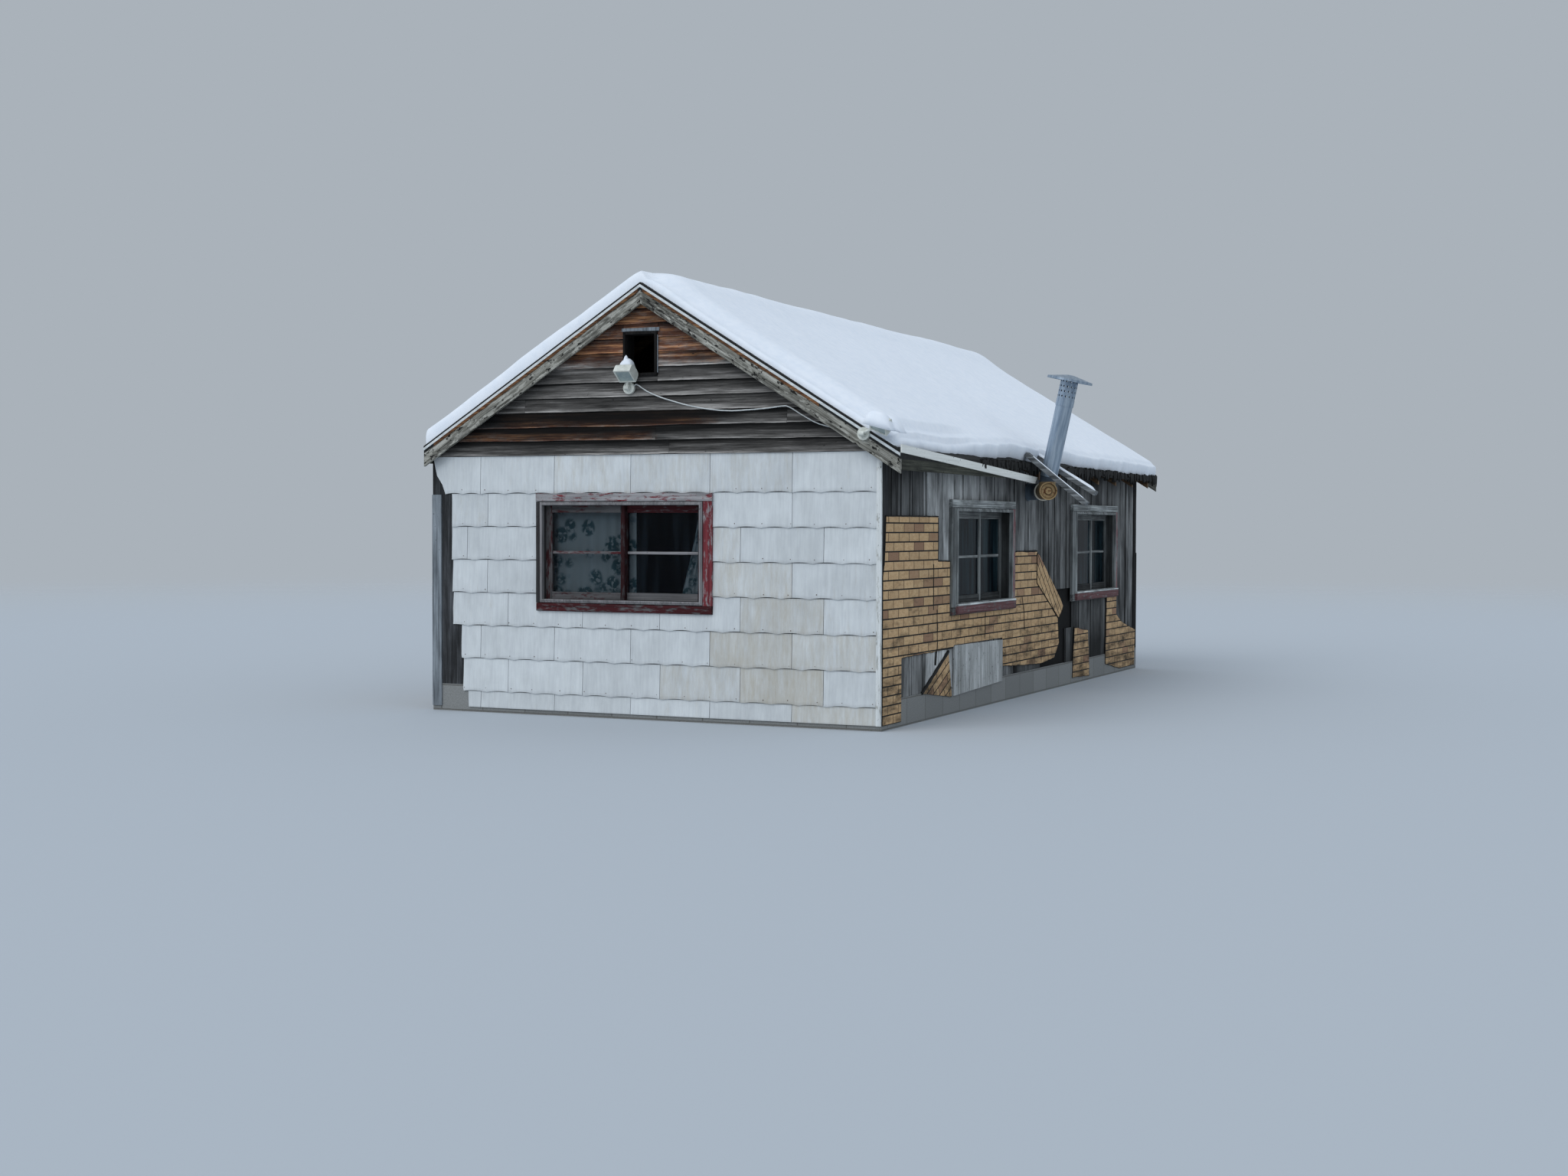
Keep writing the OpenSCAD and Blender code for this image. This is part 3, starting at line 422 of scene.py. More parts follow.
@dataclass(frozen=True)
class Matt(Finish):
    """A dull material of two mottled shades, such as bitumen felt, zinc or moulded plastic."""

    dark: str
    pale: str
    size_mm: Triple = (40, 40, 40)
    roughness: float = 0.85
    metallic: float = 0.0
    bump_mm: float = 2.0
    turn: Triple = (0.0, 0.0, 0.0)
    spots: str = "#000000"

    def looks(self, add: Adder) -> Looks:
        """Mottles the pale shade and spots it here and there.

        Args:
            add: Adds a node to the material.

        Returns:
            The shader's inputs and the relief.
        """
        place = shifted_place(add)
        mottle = sized_noise(add, place, self.size_mm, 6.0, self.turn, 0.65)
        tint = add("ValToRGB", {"Fac": mottle}, stops=[(0.35, self.dark), (0.62, self.pale)])
        blots = sized_noise(add, place, tuple(s * 1.7 for s in self.size_mm), 5.0, self.turn, 0.7)
        dots = add("MapRange", {"Value": blots, "From Min": 0.72, "From Max": 0.78})
        spotted = add("Mix", {"Factor": dots, "A": tint, "B": self.spots}, **BLEND)
        inputs = {"Base Color": toned(add, spotted, 0.5), "Roughness": self.roughness,
                  "Metallic": self.metallic}
        return inputs, (mottle, 0.35, self.bump_mm)


@dataclass(frozen=True)
class TeeSheet(Finish):
    """The stovepipe's level run, in zones along it.

    The eye gets dull blue-grey zinc at the wall, darkened there as painted shade, a pale flared ring,
    heat-tanned sheet in the tee, and a rusty plug with pressed rings.
    """

    name: str = "tee_sheet"
    centre: Triple = (2.235, 3.13, 1.83)
    turn: float = math.radians(60)
    rust: str = "#6d3a1c"
    upright: str = "#424d5a"

    def looks(self, add: Adder) -> Looks:
        """Measures along and out from the run's axis, and colours it by both.

        Args:
            add: Adds a node to the material.

        Returns:
            The shader's inputs and the relief.
        """
        place = still_place(add)
        way = (math.cos(self.turn), -math.sin(self.turn), 0.0)
        local = add("VectorMath", {0: place, 1: self.centre}, operation="SUBTRACT")
        run = add("VectorMath", {0: local, 1: way}, operation="DOT_PRODUCT").outputs["Value"]
        turned = add("VectorMath", {0: local, 1: way}, operation="CROSS_PRODUCT")
        radius = add("VectorMath", {0: turned}, operation="LENGTH").outputs["Value"]
        share = add("MapRange", {"Value": run, "From Min": -0.4, "From Max": 0.15})
        # The first zones, at the wall, are zinc painted darker as painted shade
        zones = add("ValToRGB", {"Fac": share}, stops=[
            (0.5, "#5d6a76"), (0.515, "#57636e"), (0.525, "#e2ddcf"), (0.59, "#e2ddcf"), (0.6, "#75664f"),
            (0.86, "#94805f"), (0.875, "#b89a6d")])
        rings = add("ValToRGB", {"Fac": add("Math", {0: radius, 1: 10.0}, operation="MULTIPLY")}, stops=[
            (0.26, 1.0), (0.3, 0.25), (0.36, 0.3), (0.42, 0.9), (0.58, 0.8), (0.64, 0.3), (0.72, 1.1)])
        ringed = add("MapRange", {"Value": run, "From Min": 0.085, "From Max": 0.09})
        pressed = add("Mix", {"Factor": ringed, "A": zones, "B": rings}, **TIMES)
        blots = sized_noise(add, place, (50, 50, 50), 5.0, rough=0.7)
        hot = add("MapRange", {"Value": run, "From Min": -0.1, "From Max": 0.1, "To Max": 0.1})
        rusting = add("Math", {0: blots, 1: hot})
        mask = add("MapRange", {"Value": rusting, "From Min": 0.6, "From Max": 0.7, "To Max": 0.85})
        rusted = add("Mix", {"Factor": mask, "A": pressed, "B": self.rust}, **BLEND)
        height = add("SeparateXYZ", {"Vector": local}).outputs["Z"]
        above = add("MapRange", {"Value": height, "From Min": 0.078, "From Max": 0.085})
        colour = add("Mix", {"Factor": above, "A": rusted, "B": self.upright}, **BLEND)
        return {"Base Color": colour, "Roughness": 0.58, "Metallic": 0.25}, (blots, 0.2, 1)


@dataclass(frozen=True)
class DustyPane(Finish):
    """Old window glass: glossy, with upright streaks of dust, and a dark colour that is painted shade of the
    unlit room behind it.
    """

    dust: str
    clear: float
    dark: str
    mirror: float = 0.16

    def looks(self, add: Adder) -> Looks:
        """Streaks the glass's painted shade with dust.

        Args:
            add: Adds a node to the material.

        Returns:
            The shader's inputs and the relief.
        """
        streaks = sized_noise(add, still_place(add), (70, 70, 900), 4.0)
        tint = add("ValToRGB", {"Fac": streaks}, stops=[(0.46, self.dark), (0.72, self.dust)])
        return {"Base Color": tint, "Roughness": 0.16, "Specular IOR Level": self.mirror,
                "Alpha": 1 - self.clear}, None


@dataclass(frozen=True)
class PrintedCotton(Finish):
    """Thin curtain cotton, plain woven: matt and pale, with a loose blue-green print of ragged blots."""

    name: str = "printed_cotton"
    ground: str = "#b4c8d0"
    ink: str = "#2b616d"

    def looks(self, add: Adder) -> Looks:
        """Prints ragged rings on the cloth.

        Args:
            add: Adds a node to the material.

        Returns:
            The shader's inputs and the relief.
        """
        flat = add("UVMap", uv_map="cloth")
        cells = add("TexVoronoi", {"Vector": flat, "Scale": 7.5, "Randomness": 0.9})
        ring = add("ValToRGB", {"Fac": cells.outputs["Distance"]},
                   stops=[(0.1, 0.7), (0.2, 1.0), (0.42, 0.9), (0.56, 0.0)])
        ragged = add("TexNoise", {"Vector": flat, "Scale": 24.0, "Detail": 4.0})
        broken = add("MapRange", {"Value": ragged, "From Min": 0.4, "From Max": 0.5})
        mask = add("Math", {0: ring, 1: broken}, operation="MULTIPLY")
        cloth = add("Mix", {"Factor": mask, "A": self.ground, "B": self.ink}, **BLEND)
        # Threads are 0.4 mm apart; the weave is drawn at 2 mm, so that it shows up close
        weave = add("TexNoise", {"Vector": flat, "Scale": 500.0})
        return {"Base Color": cloth, "Roughness": 0.9, "Sheen Weight": 0.2}, (weave, 0.2, 0.4)


@dataclass(frozen=True)
class BlockWork(Finish):
    """Concrete blocks of 390 x 190 mm, pressed and porous, laid with flush mortar joints of 10 mm."""

    name: str = "concrete_block"
    blocks: Pair = ("#8b8c8a", "#7f807e")
    mortar: str = "#6d6c68"

    def looks(self, add: Adder) -> Looks:
        """Lays the bond along each wall and roughens it with pores.

        Args:
            add: Adds a node to the material.

        Returns:
            The shader's inputs and the relief.
        """
        place = still_place(add)
        parts = add("SeparateXYZ", {"Vector": place}).outputs
        run = add("Math", {0: parts["X"], 1: parts["Y"]})
        lift = add("Math", {0: parts["Z"], 1: 0.19})
        bond = add("TexBrick", {"Vector": add("CombineXYZ", {"X": run, "Y": lift}), "Color1": self.blocks[0],
                                "Color2": self.blocks[1], "Mortar": self.mortar, "Scale": 1.0,
                                "Mortar Size": 0.005, "Brick Width": 0.4, "Row Height": 0.2})
        pores = sized_noise(add, place, (9, 9, 9), 4.0, rough=0.7)
        speck = add("ValToRGB", {"Fac": pores}, stops=[(0.35, 0.6), (0.6, 1.1)])
        rough = add("Mix", {"Factor": 0.6, "A": bond, "B": speck}, **TIMES)
        joints = add("Math", {0: pores, 1: bond.outputs["Fac"]}, operation="SUBTRACT")
        return {"Base Color": rough, "Roughness": 0.95}, (joints, 0.7, 4)


class Finishes:
    """Builds each finish once and hands it out by name."""

    def __init__(self, finishes: Sequence[Finish]) -> None:
        """Builds the materials of all finishes."""
        self.made = {f.name: f.build() for f in finishes}

    def __getitem__(self, name: str) -> Material:
        """Gives the material of that name."""
        return self.made[name]


@dataclass(frozen=True)
class Hut:
    """The hut's main planes, read from the frame, and its roof's slope and thickness."""

    x_left: float
    x_right: float
    y_front: float
    y_back: float
    roof_front: float
    roof_back: float
    eave_left: float
    eave_right: float
    ridge_top: float
    pitch: float = math.radians(31.6)
    deck: float = 40 * MM

    @classmethod
    def from_frame(cls) -> "Hut":
        """Reads the planes from the boxes of the walls and the roof.

        Returns:
            The hut.
        """
        front_low, front_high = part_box("front_wall")
        right_low, right_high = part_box("roof_right")
        back_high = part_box("back_wall")[1]
        left_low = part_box("roof_left")[0]
        return cls(front_low.x, front_high.x, front_low.y, back_high.y, right_low.y, right_high.y, left_low.x,
                   right_high.x, right_high.z)

    def deck_top(self, x: float) -> float:
        """Gives the height of the roofing at a distance from the middle."""
        return self.ridge_top - abs(x) * math.tan(self.pitch)

    def deck_under(self, x: float) -> float:
        """Gives the height of the roof boards' underside at a distance from the middle."""
        return self.deck_top(x) - self.deck / math.cos(self.pitch)

    def reach(self, z: float) -> float:
        """Gives how far the roof boards' underside lies from the middle at a height."""
        return max(0.0, (self.deck_under(0) - z) / math.tan(self.pitch))


class Side(Enum):
    """The walls, each with a frame whose X runs to the right along its face, Y into it and Z up."""

    FRONT = 0
    RIGHT = 90
    BACK = 180
    LEFT = -90

    def frame(self, hut: Hut) -> Matrix:
        """Gives the matrix from the wall's own frame, with its origin at the face's foot, to the hut's."""
        x = {Side.RIGHT: hut.x_right, Side.LEFT: hut.x_left}.get(self, 0)
        y = hut.y_back if self is Side.BACK else hut.y_front
        return Matrix.Translation((x, y, 0)) @ Matrix.Rotation(math.radians(self.value), 4, "Z")


@dataclass
class Work:
    """Work that dresses a side of the hut, done with its finishes."""

    hut: Hut
    finishes: Finishes


def wave(x: float, y: float = 0.0, z: float = 0.0) -> float:
    """Gives smooth noise between -1 and 1, about one swell to a unit."""
    return noise.noise(Vector((x, y, z)))


def smooth(value: float, low: float, high: float) -> float:
    """Rises softly from 0 at low to 1 at high."""
    t = min(1.0, max(0.0, (value - low) / (high - low)))
    return t * t * (3 - 2 * t)


def spread(low: float, high: float, step: float) -> list[float]:
    """Gives evenly spaced values from low to high, about a step apart."""
    count = max(1, round((high - low) / step))
    return [low + (high - low) * i / count for i in range(count + 1)]


def between(knots: Outline, at: float) -> float:
    """Reads a line through knots, level beyond its ends.

    Args:
        knots: The knots, each with its place and its value.
        at: The place to read.

    Returns:
        The value.
    """
    if at <= knots[0][0]:
        return knots[0][1]
    for (a, start), (b, end) in zip(knots, knots[1:]):
        if at <= b:
            return start + (end - start) * (at - a) / (b - a)
    return knots[-1][1]


def clip(outline: Outline, low: Sequence[float], high: Sequence[float]) -> list[Pair]:
    """Cuts an outline to a rectangle.

    Args:
        outline: The outline's corners.
        low: The rectangle's lower corner.
        high: The rectangle's upper corner.

    Returns:
        The corners of what is left, or an empty list.
    """
    kept = list(outline)
    for axis in (0, 1):
        for limit, sign in ((low[axis], 1.0), (high[axis], -1.0)):
            done: list[Pair] = []
            for a, b in zip(kept, kept[1:] + kept[:1]):
                da = sign * (a[axis] - limit)
                db = sign * (b[axis] - limit)
                if da >= 0:
                    done.append(a)
                if (da > 0 > db) or (da < 0 < db):
                    t = da / (da - db)
                    done.append((a[0] + (b[0] - a[0]) * t, a[1] + (b[1] - a[1]) * t))
            kept = done
    return kept


def area_of(outline: Outline) -> float:
    """Gives an outline's signed area."""
    return sum(a[0] * b[1] - b[0] * a[1] for a, b in zip(outline, [*outline[1:], outline[0]])) / 2


class Draft:
    """Collects the closed solids of one mesh, with the tone, the wear and the shade that its finish reads."""

    def __init__(self, frame: Optional[Matrix] = None) -> None:
        """Starts an empty mesh.

        Args:
            frame: The frame that it is drawn in, if not the hut's.
        """
        self.frame = frame or Matrix.Identity(4)
        self.points: list[Vector] = []
        self.tones: list[float] = []
        self.wears: list[float] = []
        self.shades: list[float] = []
        self.faces: list[tuple[int, ...]] = []
        self.slots: list[int] = []

    def ring(self, points: Sequence[Sequence[float]], tone: float, wear: Amount, shade: Shade = 0.0) -> int:
        """Adds points with their tone, wear and shade.

        Args:
            points: The points, in the mesh's own frame.
            tone: How light they are.
            wear: Their wear, or a function that gives it at a point.
            shade: How much lighter they are, as one value, one for each point, or a function.

        Returns:
            The number of the first point.
        """
        first = len(self.points)
        for number, at in enumerate(points):
            place = Vector(at)
            self.points.append(self.frame @ place)
            self.tones.append(tone)
            self.wears.append(wear(place) if callable(wear) else wear)
            if callable(shade):
                self.shades.append(shade(place))
            else:
                self.shades.append(shade if isinstance(shade, (int, float)) else shade[number])
        return first

    def face(self, corners: Sequence[int], slot: int = 0) -> None:
        """Adds a face with the number of its material."""
        self.faces.append(tuple(corners))
        self.slots.append(slot)

    def loft(self, rings: Sequence[Sequence[Sequence[float]]], tone: float = 0.0, wear: Amount = 0.0,
             slot: int = 0, closed: bool = False, shade: Shade = 0.0) -> None:
        """Joins rings of points into a tube, with flat ends unless it is closed; see ring and join."""
        self.join([self.ring(points, tone, wear, shade) for points in rings], len(rings[0]), slot, closed)

    def join(self, firsts: Sequence[int], size: int, slot: int = 0, closed: bool = False) -> None:
        """Adds the faces between rings of points.

        Args:
            firsts: The number of each ring's first point.
            size: How many points a ring has.
            slot: The number of the material.
            closed: Whether the last ring joins the first, instead of flat ends.
        """
        following = [*firsts[1:], firsts[0]] if closed else firsts[1:]
        for a, b in zip(firsts, following):
            for k in range(size):
                n = (k + 1) % size
                self.face((a + k, a + n, b + n, b + k), slot)
        if not closed:
            for first in (firsts[0], firsts[-1]):
                self.face(range(first, first + size), slot)

    def slab(self, outline: Outline, y0: float, y1: float, tone: float = 0.0, wear: Amount = 0.0,
             slot: int = 0, shade: Shade = 0.0) -> None:
        """Adds an outline in X and Z, drawn out between two depths."""
        self.loft([[(x, y, z) for x, z in outline] for y in (y0, y1)], tone, wear, slot, shade=shade)

    def board(self, corner: Sequence[float], along: Vector, across: Vector, size: Triple, tone: float = 0.0,
              wear: Amount = 0.0, slot: int = 0, rough: float = 2 * MM, step: float = 0.16,
              chamfer: float = 2 * MM, shade: Shade = 0.0) -> None:
        """Adds a sawn board with uneven edges.

        Args:
            corner: The board's back corner where it starts.
            along: The direction of its length.
            across: The direction of its width.
            size: Its length, width and thickness, towards along x across.
            tone: How light it is.
            wear: Its wear.
            slot: The number of its material.
            rough: How far its edges wander.
            step: How often they wander.
            chamfer: How much its front edges are worn off.
            shade: How much lighter its points are.
        """
        start, run, side = Vector(corner), along.normalized(), across.normalized()
        out = run.cross(side)
        length, width, depth = size
        seed = len(self.points) * 0.37
        rings = []
        for s in spread(0, length, step):
            low = rough * wave(s * 5, seed)
            high = width + rough * wave(s * 5, seed + 9.1)
            face = depth + 0.5 * rough * wave(s * 3, seed + 5.3)
            profile = [(low, 0), (high, 0), (high, face - chamfer), (high - chamfer, face),
                       (low + chamfer, face), (low, face - chamfer)]
            rings.append([start + run * s + side * a + out * b for a, b in profile])
        self.loft(rings, tone, wear, slot, shade=shade)

    def take(self, source: Piece, move: Callable[[Vector], Vector], slot: int = 0) -> None:
        """Adds a copy of a CAD node's mesh, with its doubled points merged.

        Args:
            source: The node.
            move: Gives each point's new place.
            slot: The number of the copy's material.
        """
        work = bmesh.new()
        work.from_mesh(source.data)
        bmesh.ops.remove_doubles(work, verts=work.verts, dist=0.01 * MM)
        first = self.ring([move(v.co) for v in work.verts], 0.0, 0.0)
        for face in work.faces:
            self.face([first + v.index for v in face.verts], slot)
        work.free()

    def build(self, name: str, materials: Sequence[Material], rounded: bool = False) -> Piece:
        """Makes the object.

        Args:
            name: The piece's name.
            materials: Its materials, in the order of the slots' numbers.
            rounded: Whether it is shaded smooth.

        Returns:
            The object, at the origin.
        """
        mesh = bpy.data.meshes.new(name)
        mesh.from_pydata(self.points, [], self.faces)
        for label, values in (("tone", self.tones), ("wear", self.wears), ("shade", self.shades)):
            mesh.attributes.new(label, "FLOAT", "POINT").data.foreach_set("value", values)
        for material in materials:
            mesh.materials.append(material)
        mesh.polygons.foreach_set("material_index", self.slots)
        mesh.polygons.foreach_set("use_smooth", [rounded] * len(self.faces))
        work = bmesh.new()
        work.from_mesh(mesh)
        bmesh.ops.recalc_face_normals(work, faces=work.faces)
        work.to_mesh(mesh)
        work.free()
        return linked(name, mesh)


def linked(name: str, mesh: bpy.types.Mesh) -> Piece:
    """Puts a mesh into the scene as an object at the origin."""
    made = bpy.data.objects.new(name, mesh)
    bpy.context.scene.collection.objects.link(made)
    return made


def keep(piece: Piece, slot: str, *nodes: str) -> Piece:
    """Hands a finished piece to the frame.

    Args:
        piece: The piece.
        slot: Not used.
        nodes: The CAD nodes that it stands for.

    Returns:
        The piece.
    """
    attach(piece, BODY)
    if nodes:
        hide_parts(*nodes)
    LOG.info("%s: %d faces", piece.name, len(piece.data.polygons))
    return piece


def new_tree(name: str, inputs: Mapping[str, str]) -> tuple[bpy.types.NodeTree, Node]:
    """Starts a Geometry Nodes tree.

    Args:
        name: The tree's name.
        inputs: The kind of each named input.

    Returns:
        The tree and its input node.
    """
    tree = bpy.data.node_groups.new(name, "GeometryNodeTree")
    tree.interface.new_socket("Geometry", in_out="INPUT", socket_type="NodeSocketGeometry")
    for label, kind in inputs.items():
        tree.interface.new_socket(label, in_out="INPUT", socket_type=f"NodeSocket{kind}")
    tree.interface.new_socket("Geometry", in_out="OUTPUT", socket_type="NodeSocketGeometry")
    return tree, add_node(tree, "NodeGroupInput")


def grown(source: Piece, tree: bpy.types.NodeTree, values: Mapping[str, Any]) -> Piece:
    """Runs a tree on an object and keeps the result as its plain mesh.

    Args:
        source: The object.
        tree: The Geometry Nodes tree.
        values: What each named input gets.

    Returns:
        The object with its new mesh.
    """
    modifier = source.modifiers.new(tree.name, "NODES")
    modifier.node_group = tree
    for item in tree.interface.items_tree:
        if item.name in values and item.in_out == "INPUT":
            modifier[item.identifier] = values[item.name]
    bpy.context.view_layer.update()
    evaluated = source.evaluated_get(bpy.context.evaluated_depsgraph_get())
    source.data = bpy.data.meshes.new_from_object(evaluated)
    source.modifiers.remove(modifier)
    return source


class NailHeads:
    """Nail heads that Geometry Nodes set on points, each facing the way its point says."""

    def __init__(self) -> None:
        """Builds the tree."""
        kinds = {"Radius": "Float", "Height": "Float", "Material": "Material"}
        self.tree, group = new_tree("nail_heads", kinds)
        add, given = partial(add_node, self.tree), group.outputs
        size = {"Vertices": 8, "Radius": given["Radius"], "Depth": given["Height"]}
        head = add("GeometryNodeMeshCylinder", size).outputs["Mesh"]
        facing = add("GeometryNodeInputNamedAttribute", {"Name": "facing"}, data_type="FLOAT_VECTOR")
        turn = add("FunctionNodeAlignRotationToVector", {"Vector": facing}, axis="Z")
        scale = add("FunctionNodeRandomValue", {"Min": 0.7, "Max": 1.25, "Seed": 5}, data_type="FLOAT")
        placed = {"Points": given["Geometry"], "Instance": head, "Rotation": turn, "Scale": scale}
        real = add("GeometryNodeRealizeInstances", {"Geometry": add("GeometryNodeInstanceOnPoints", placed)})
        dressed = add("GeometryNodeSetMaterial", {"Geometry": real, "Material": given["Material"]})
        add("NodeGroupOutput", {"Geometry": dressed})

    def set_in(self, name: str, spots: Sequence[tuple[Vector, Vector]], radius: float, height: float,
               material: Material) -> Piece:
        """Makes the heads of one piece.

        Args:
            name: The piece's name.
            spots: The place and the direction of each nail head.
            radius: A head's radius.
            height: A head's height.
            material: The heads' material.

        Returns:
            The piece.
        """
        mesh = bpy.data.meshes.new(name)
        mesh.from_pydata([place for place, _ in spots], [], [])
        facing = mesh.attributes.new("facing", "FLOAT_VECTOR", "POINT")
        facing.data.foreach_set("vector", [c for _, way in spots for c in way])
        values = {"Radius": radius, "Height": height, "Material": material}
        return grown(linked(name, mesh), self.tree, values)


@dataclass
class ShingleFront(Work):
    """The front's fibre-cement shingles, in rows whose lower edges wave over the row below."""

    exposure: float = 0.2667
    first_butt: float = 1.765
    foot: float = CLADDING_FOOT
    length: float = 0.692
    stagger: float = 0.26
    staggered: tuple[int, ...] = (2, 4, 6)
    butt: float = 12 * MM
    seam: float = 4 * MM
    last_seam: float = 1.255
    trim: float = 29 * MM
    gaps: tuple[float, ...] = (0.012, 0.19, 0.19, 0.2, 0.203, 0.284, 0.3, 0.345)
    cut_seams: Mapping[int, float] = field(default_factory=lambda: {1: -1.443, 2: -1.641, 3: -1.449})
    stained: Mapping[tuple[int, int], float] = field(
        default_factory=lambda: {(3, 1): 0.36, (4, 1): 0.42, (5, 0): 0.4, (5, 1): 0.5, (6, 1): 0.55,
                                 (7, 0): 0.45, (0, 1): 0.22, (0, 2): 0.24, (0, 3): 0.26, (2, 2): 0.3,
                                 (6, 2): 0.35})

    def window(self) -> Rect:
        """Gives the casing's left, right, lower and upper edge."""
        low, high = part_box("front_window")
        return low.x, high.x, low.z, high.z

    def seams(self, row: int) -> list[float]:
        """Gives the places of a row's upright seams.

        Args:
            row: The number of the row, from the top.

        Returns:
            The seams' X, from right to left.
        """
        left = self.hut.x_left + self.gaps[row]
        places = []
        x = self.last_seam + (self.stagger if row in self.staggered else 0.0)
        while x > left + 0.12:
            places.append(x)
            x -= self.length
        if row in self.cut_seams:
            edge = self.window()[0]
            places = [p for p in places if p > edge] + [self.cut_seams[row]]
        return places

    def scallop(self, x: float, row: int) -> float:
        """Gives how far the wavy lower edge lies off its line."""
        swell = abs(math.sin(math.pi * (x - self.last_seam) / (self.length / 3) + 0.4 * row))
        return 12.5 * MM * swell ** 0.7 + 3 * MM * wave(x * 3, row)

    def edge(self, z: float, row: int) -> float:
        """Gives the broken left edge of a row at a height; the top row's corner has broken off."""
        ragged = 14 * MM * wave(z * 9, row * 3.7) + 5 * MM * wave(z * 31, row)
        slant = 0.12 * smooth(z, 2.0, 1.78) if row == 0 else 0.0
        return self.hut.x_left + self.gaps[row] + slant + ragged

    def add_shingle(self, draft: Draft, row: int, span: Pair, tone: float, wear: float) -> None:
        """Adds one shingle, cut round the window and broken at the left end.

        Args:
            draft: The mesh that gets it.
            row: The number of its row, from the top.
            span: Its left and right edge.
            tone: How light it is.
            wear: How much of it is stained.
        """
        x0, x1 = span
        butt_z = max(self.foot, self.first_butt - row * self.exposure)
        head_z = GABLE_FOOT if row == 0 else self.first_butt - (row - 1) * self.exposure + 6 * MM
        left, right, low, high = self.window()
        stretches = [(x0, x1, head_z)]
        if butt_z < high - 0.01 and head_z > low:
            stretches = [(x0, min(x1, left), head_z), (max(x0, right), x1, head_z)]
            if butt_z < low - 0.01:
                stretches.append((max(x0, left), min(x1, right), low))
        for a, b, top in stretches:
            if b - a < 0.015:
                continue
            rings = []
            broken = a <= self.hut.x_left + self.gaps[row] + self.seam
            for x in spread(a, b, 0.029):
                low_z = butt_z + (self.scallop(x, row) if butt_z > self.foot else 0.0)
                share = (top - low_z) / (head_z - low_z)
                face = self.butt - (self.butt - 3 * MM) * share
                near = self.butt - (self.butt - face) * 0.1
                ring = []
                for depth, z in ((0.0, low_z), (self.butt, low_z), (near, low_z + 0.1 * (top - low_z)),
                                 ((near + face) / 2, (low_z + top) / 2), (face, top), (0.0, top)):
                    pull = (self.edge(z, row) - a) * (b - x) / (b - a) if broken else 0.0
                    ring.append((x + pull, self.hut.y_front - depth, z))
                rings.append(ring)
            # Painted shade darkens each butt's underside and lower edge, where the shingle overhangs the row
            # below
            draft.loft(rings, tone, wear, shade=(-0.3, -0.14, 0.0, 0.0, 0.0, 0.0))

    def build(self) -> Piece:
        """Builds all rows.

        Returns:
            The piece.
        """
        rng = Random(12)
        draft = Draft()
        right = self.hut.x_right - self.trim
        for row, gap in enumerate(self.gaps):
            ends = [right, *self.seams(row), self.hut.x_left + gap]
            for number, (b, a) in enumerate(zip(ends, ends[1:])):
                wear = self.stained.get((row, number), rng.uniform(0, 0.16))
                span = (a + self.seam / 2, b - self.seam / 2)
                self.add_shingle(draft, row, span, rng.uniform(-0.25, 0.25), wear)
        piece = draft.build("front_shingle_rows", [self.finishes["combed_fibre_cement"]])
        return keep(piece, "shingle", "front_shingles")


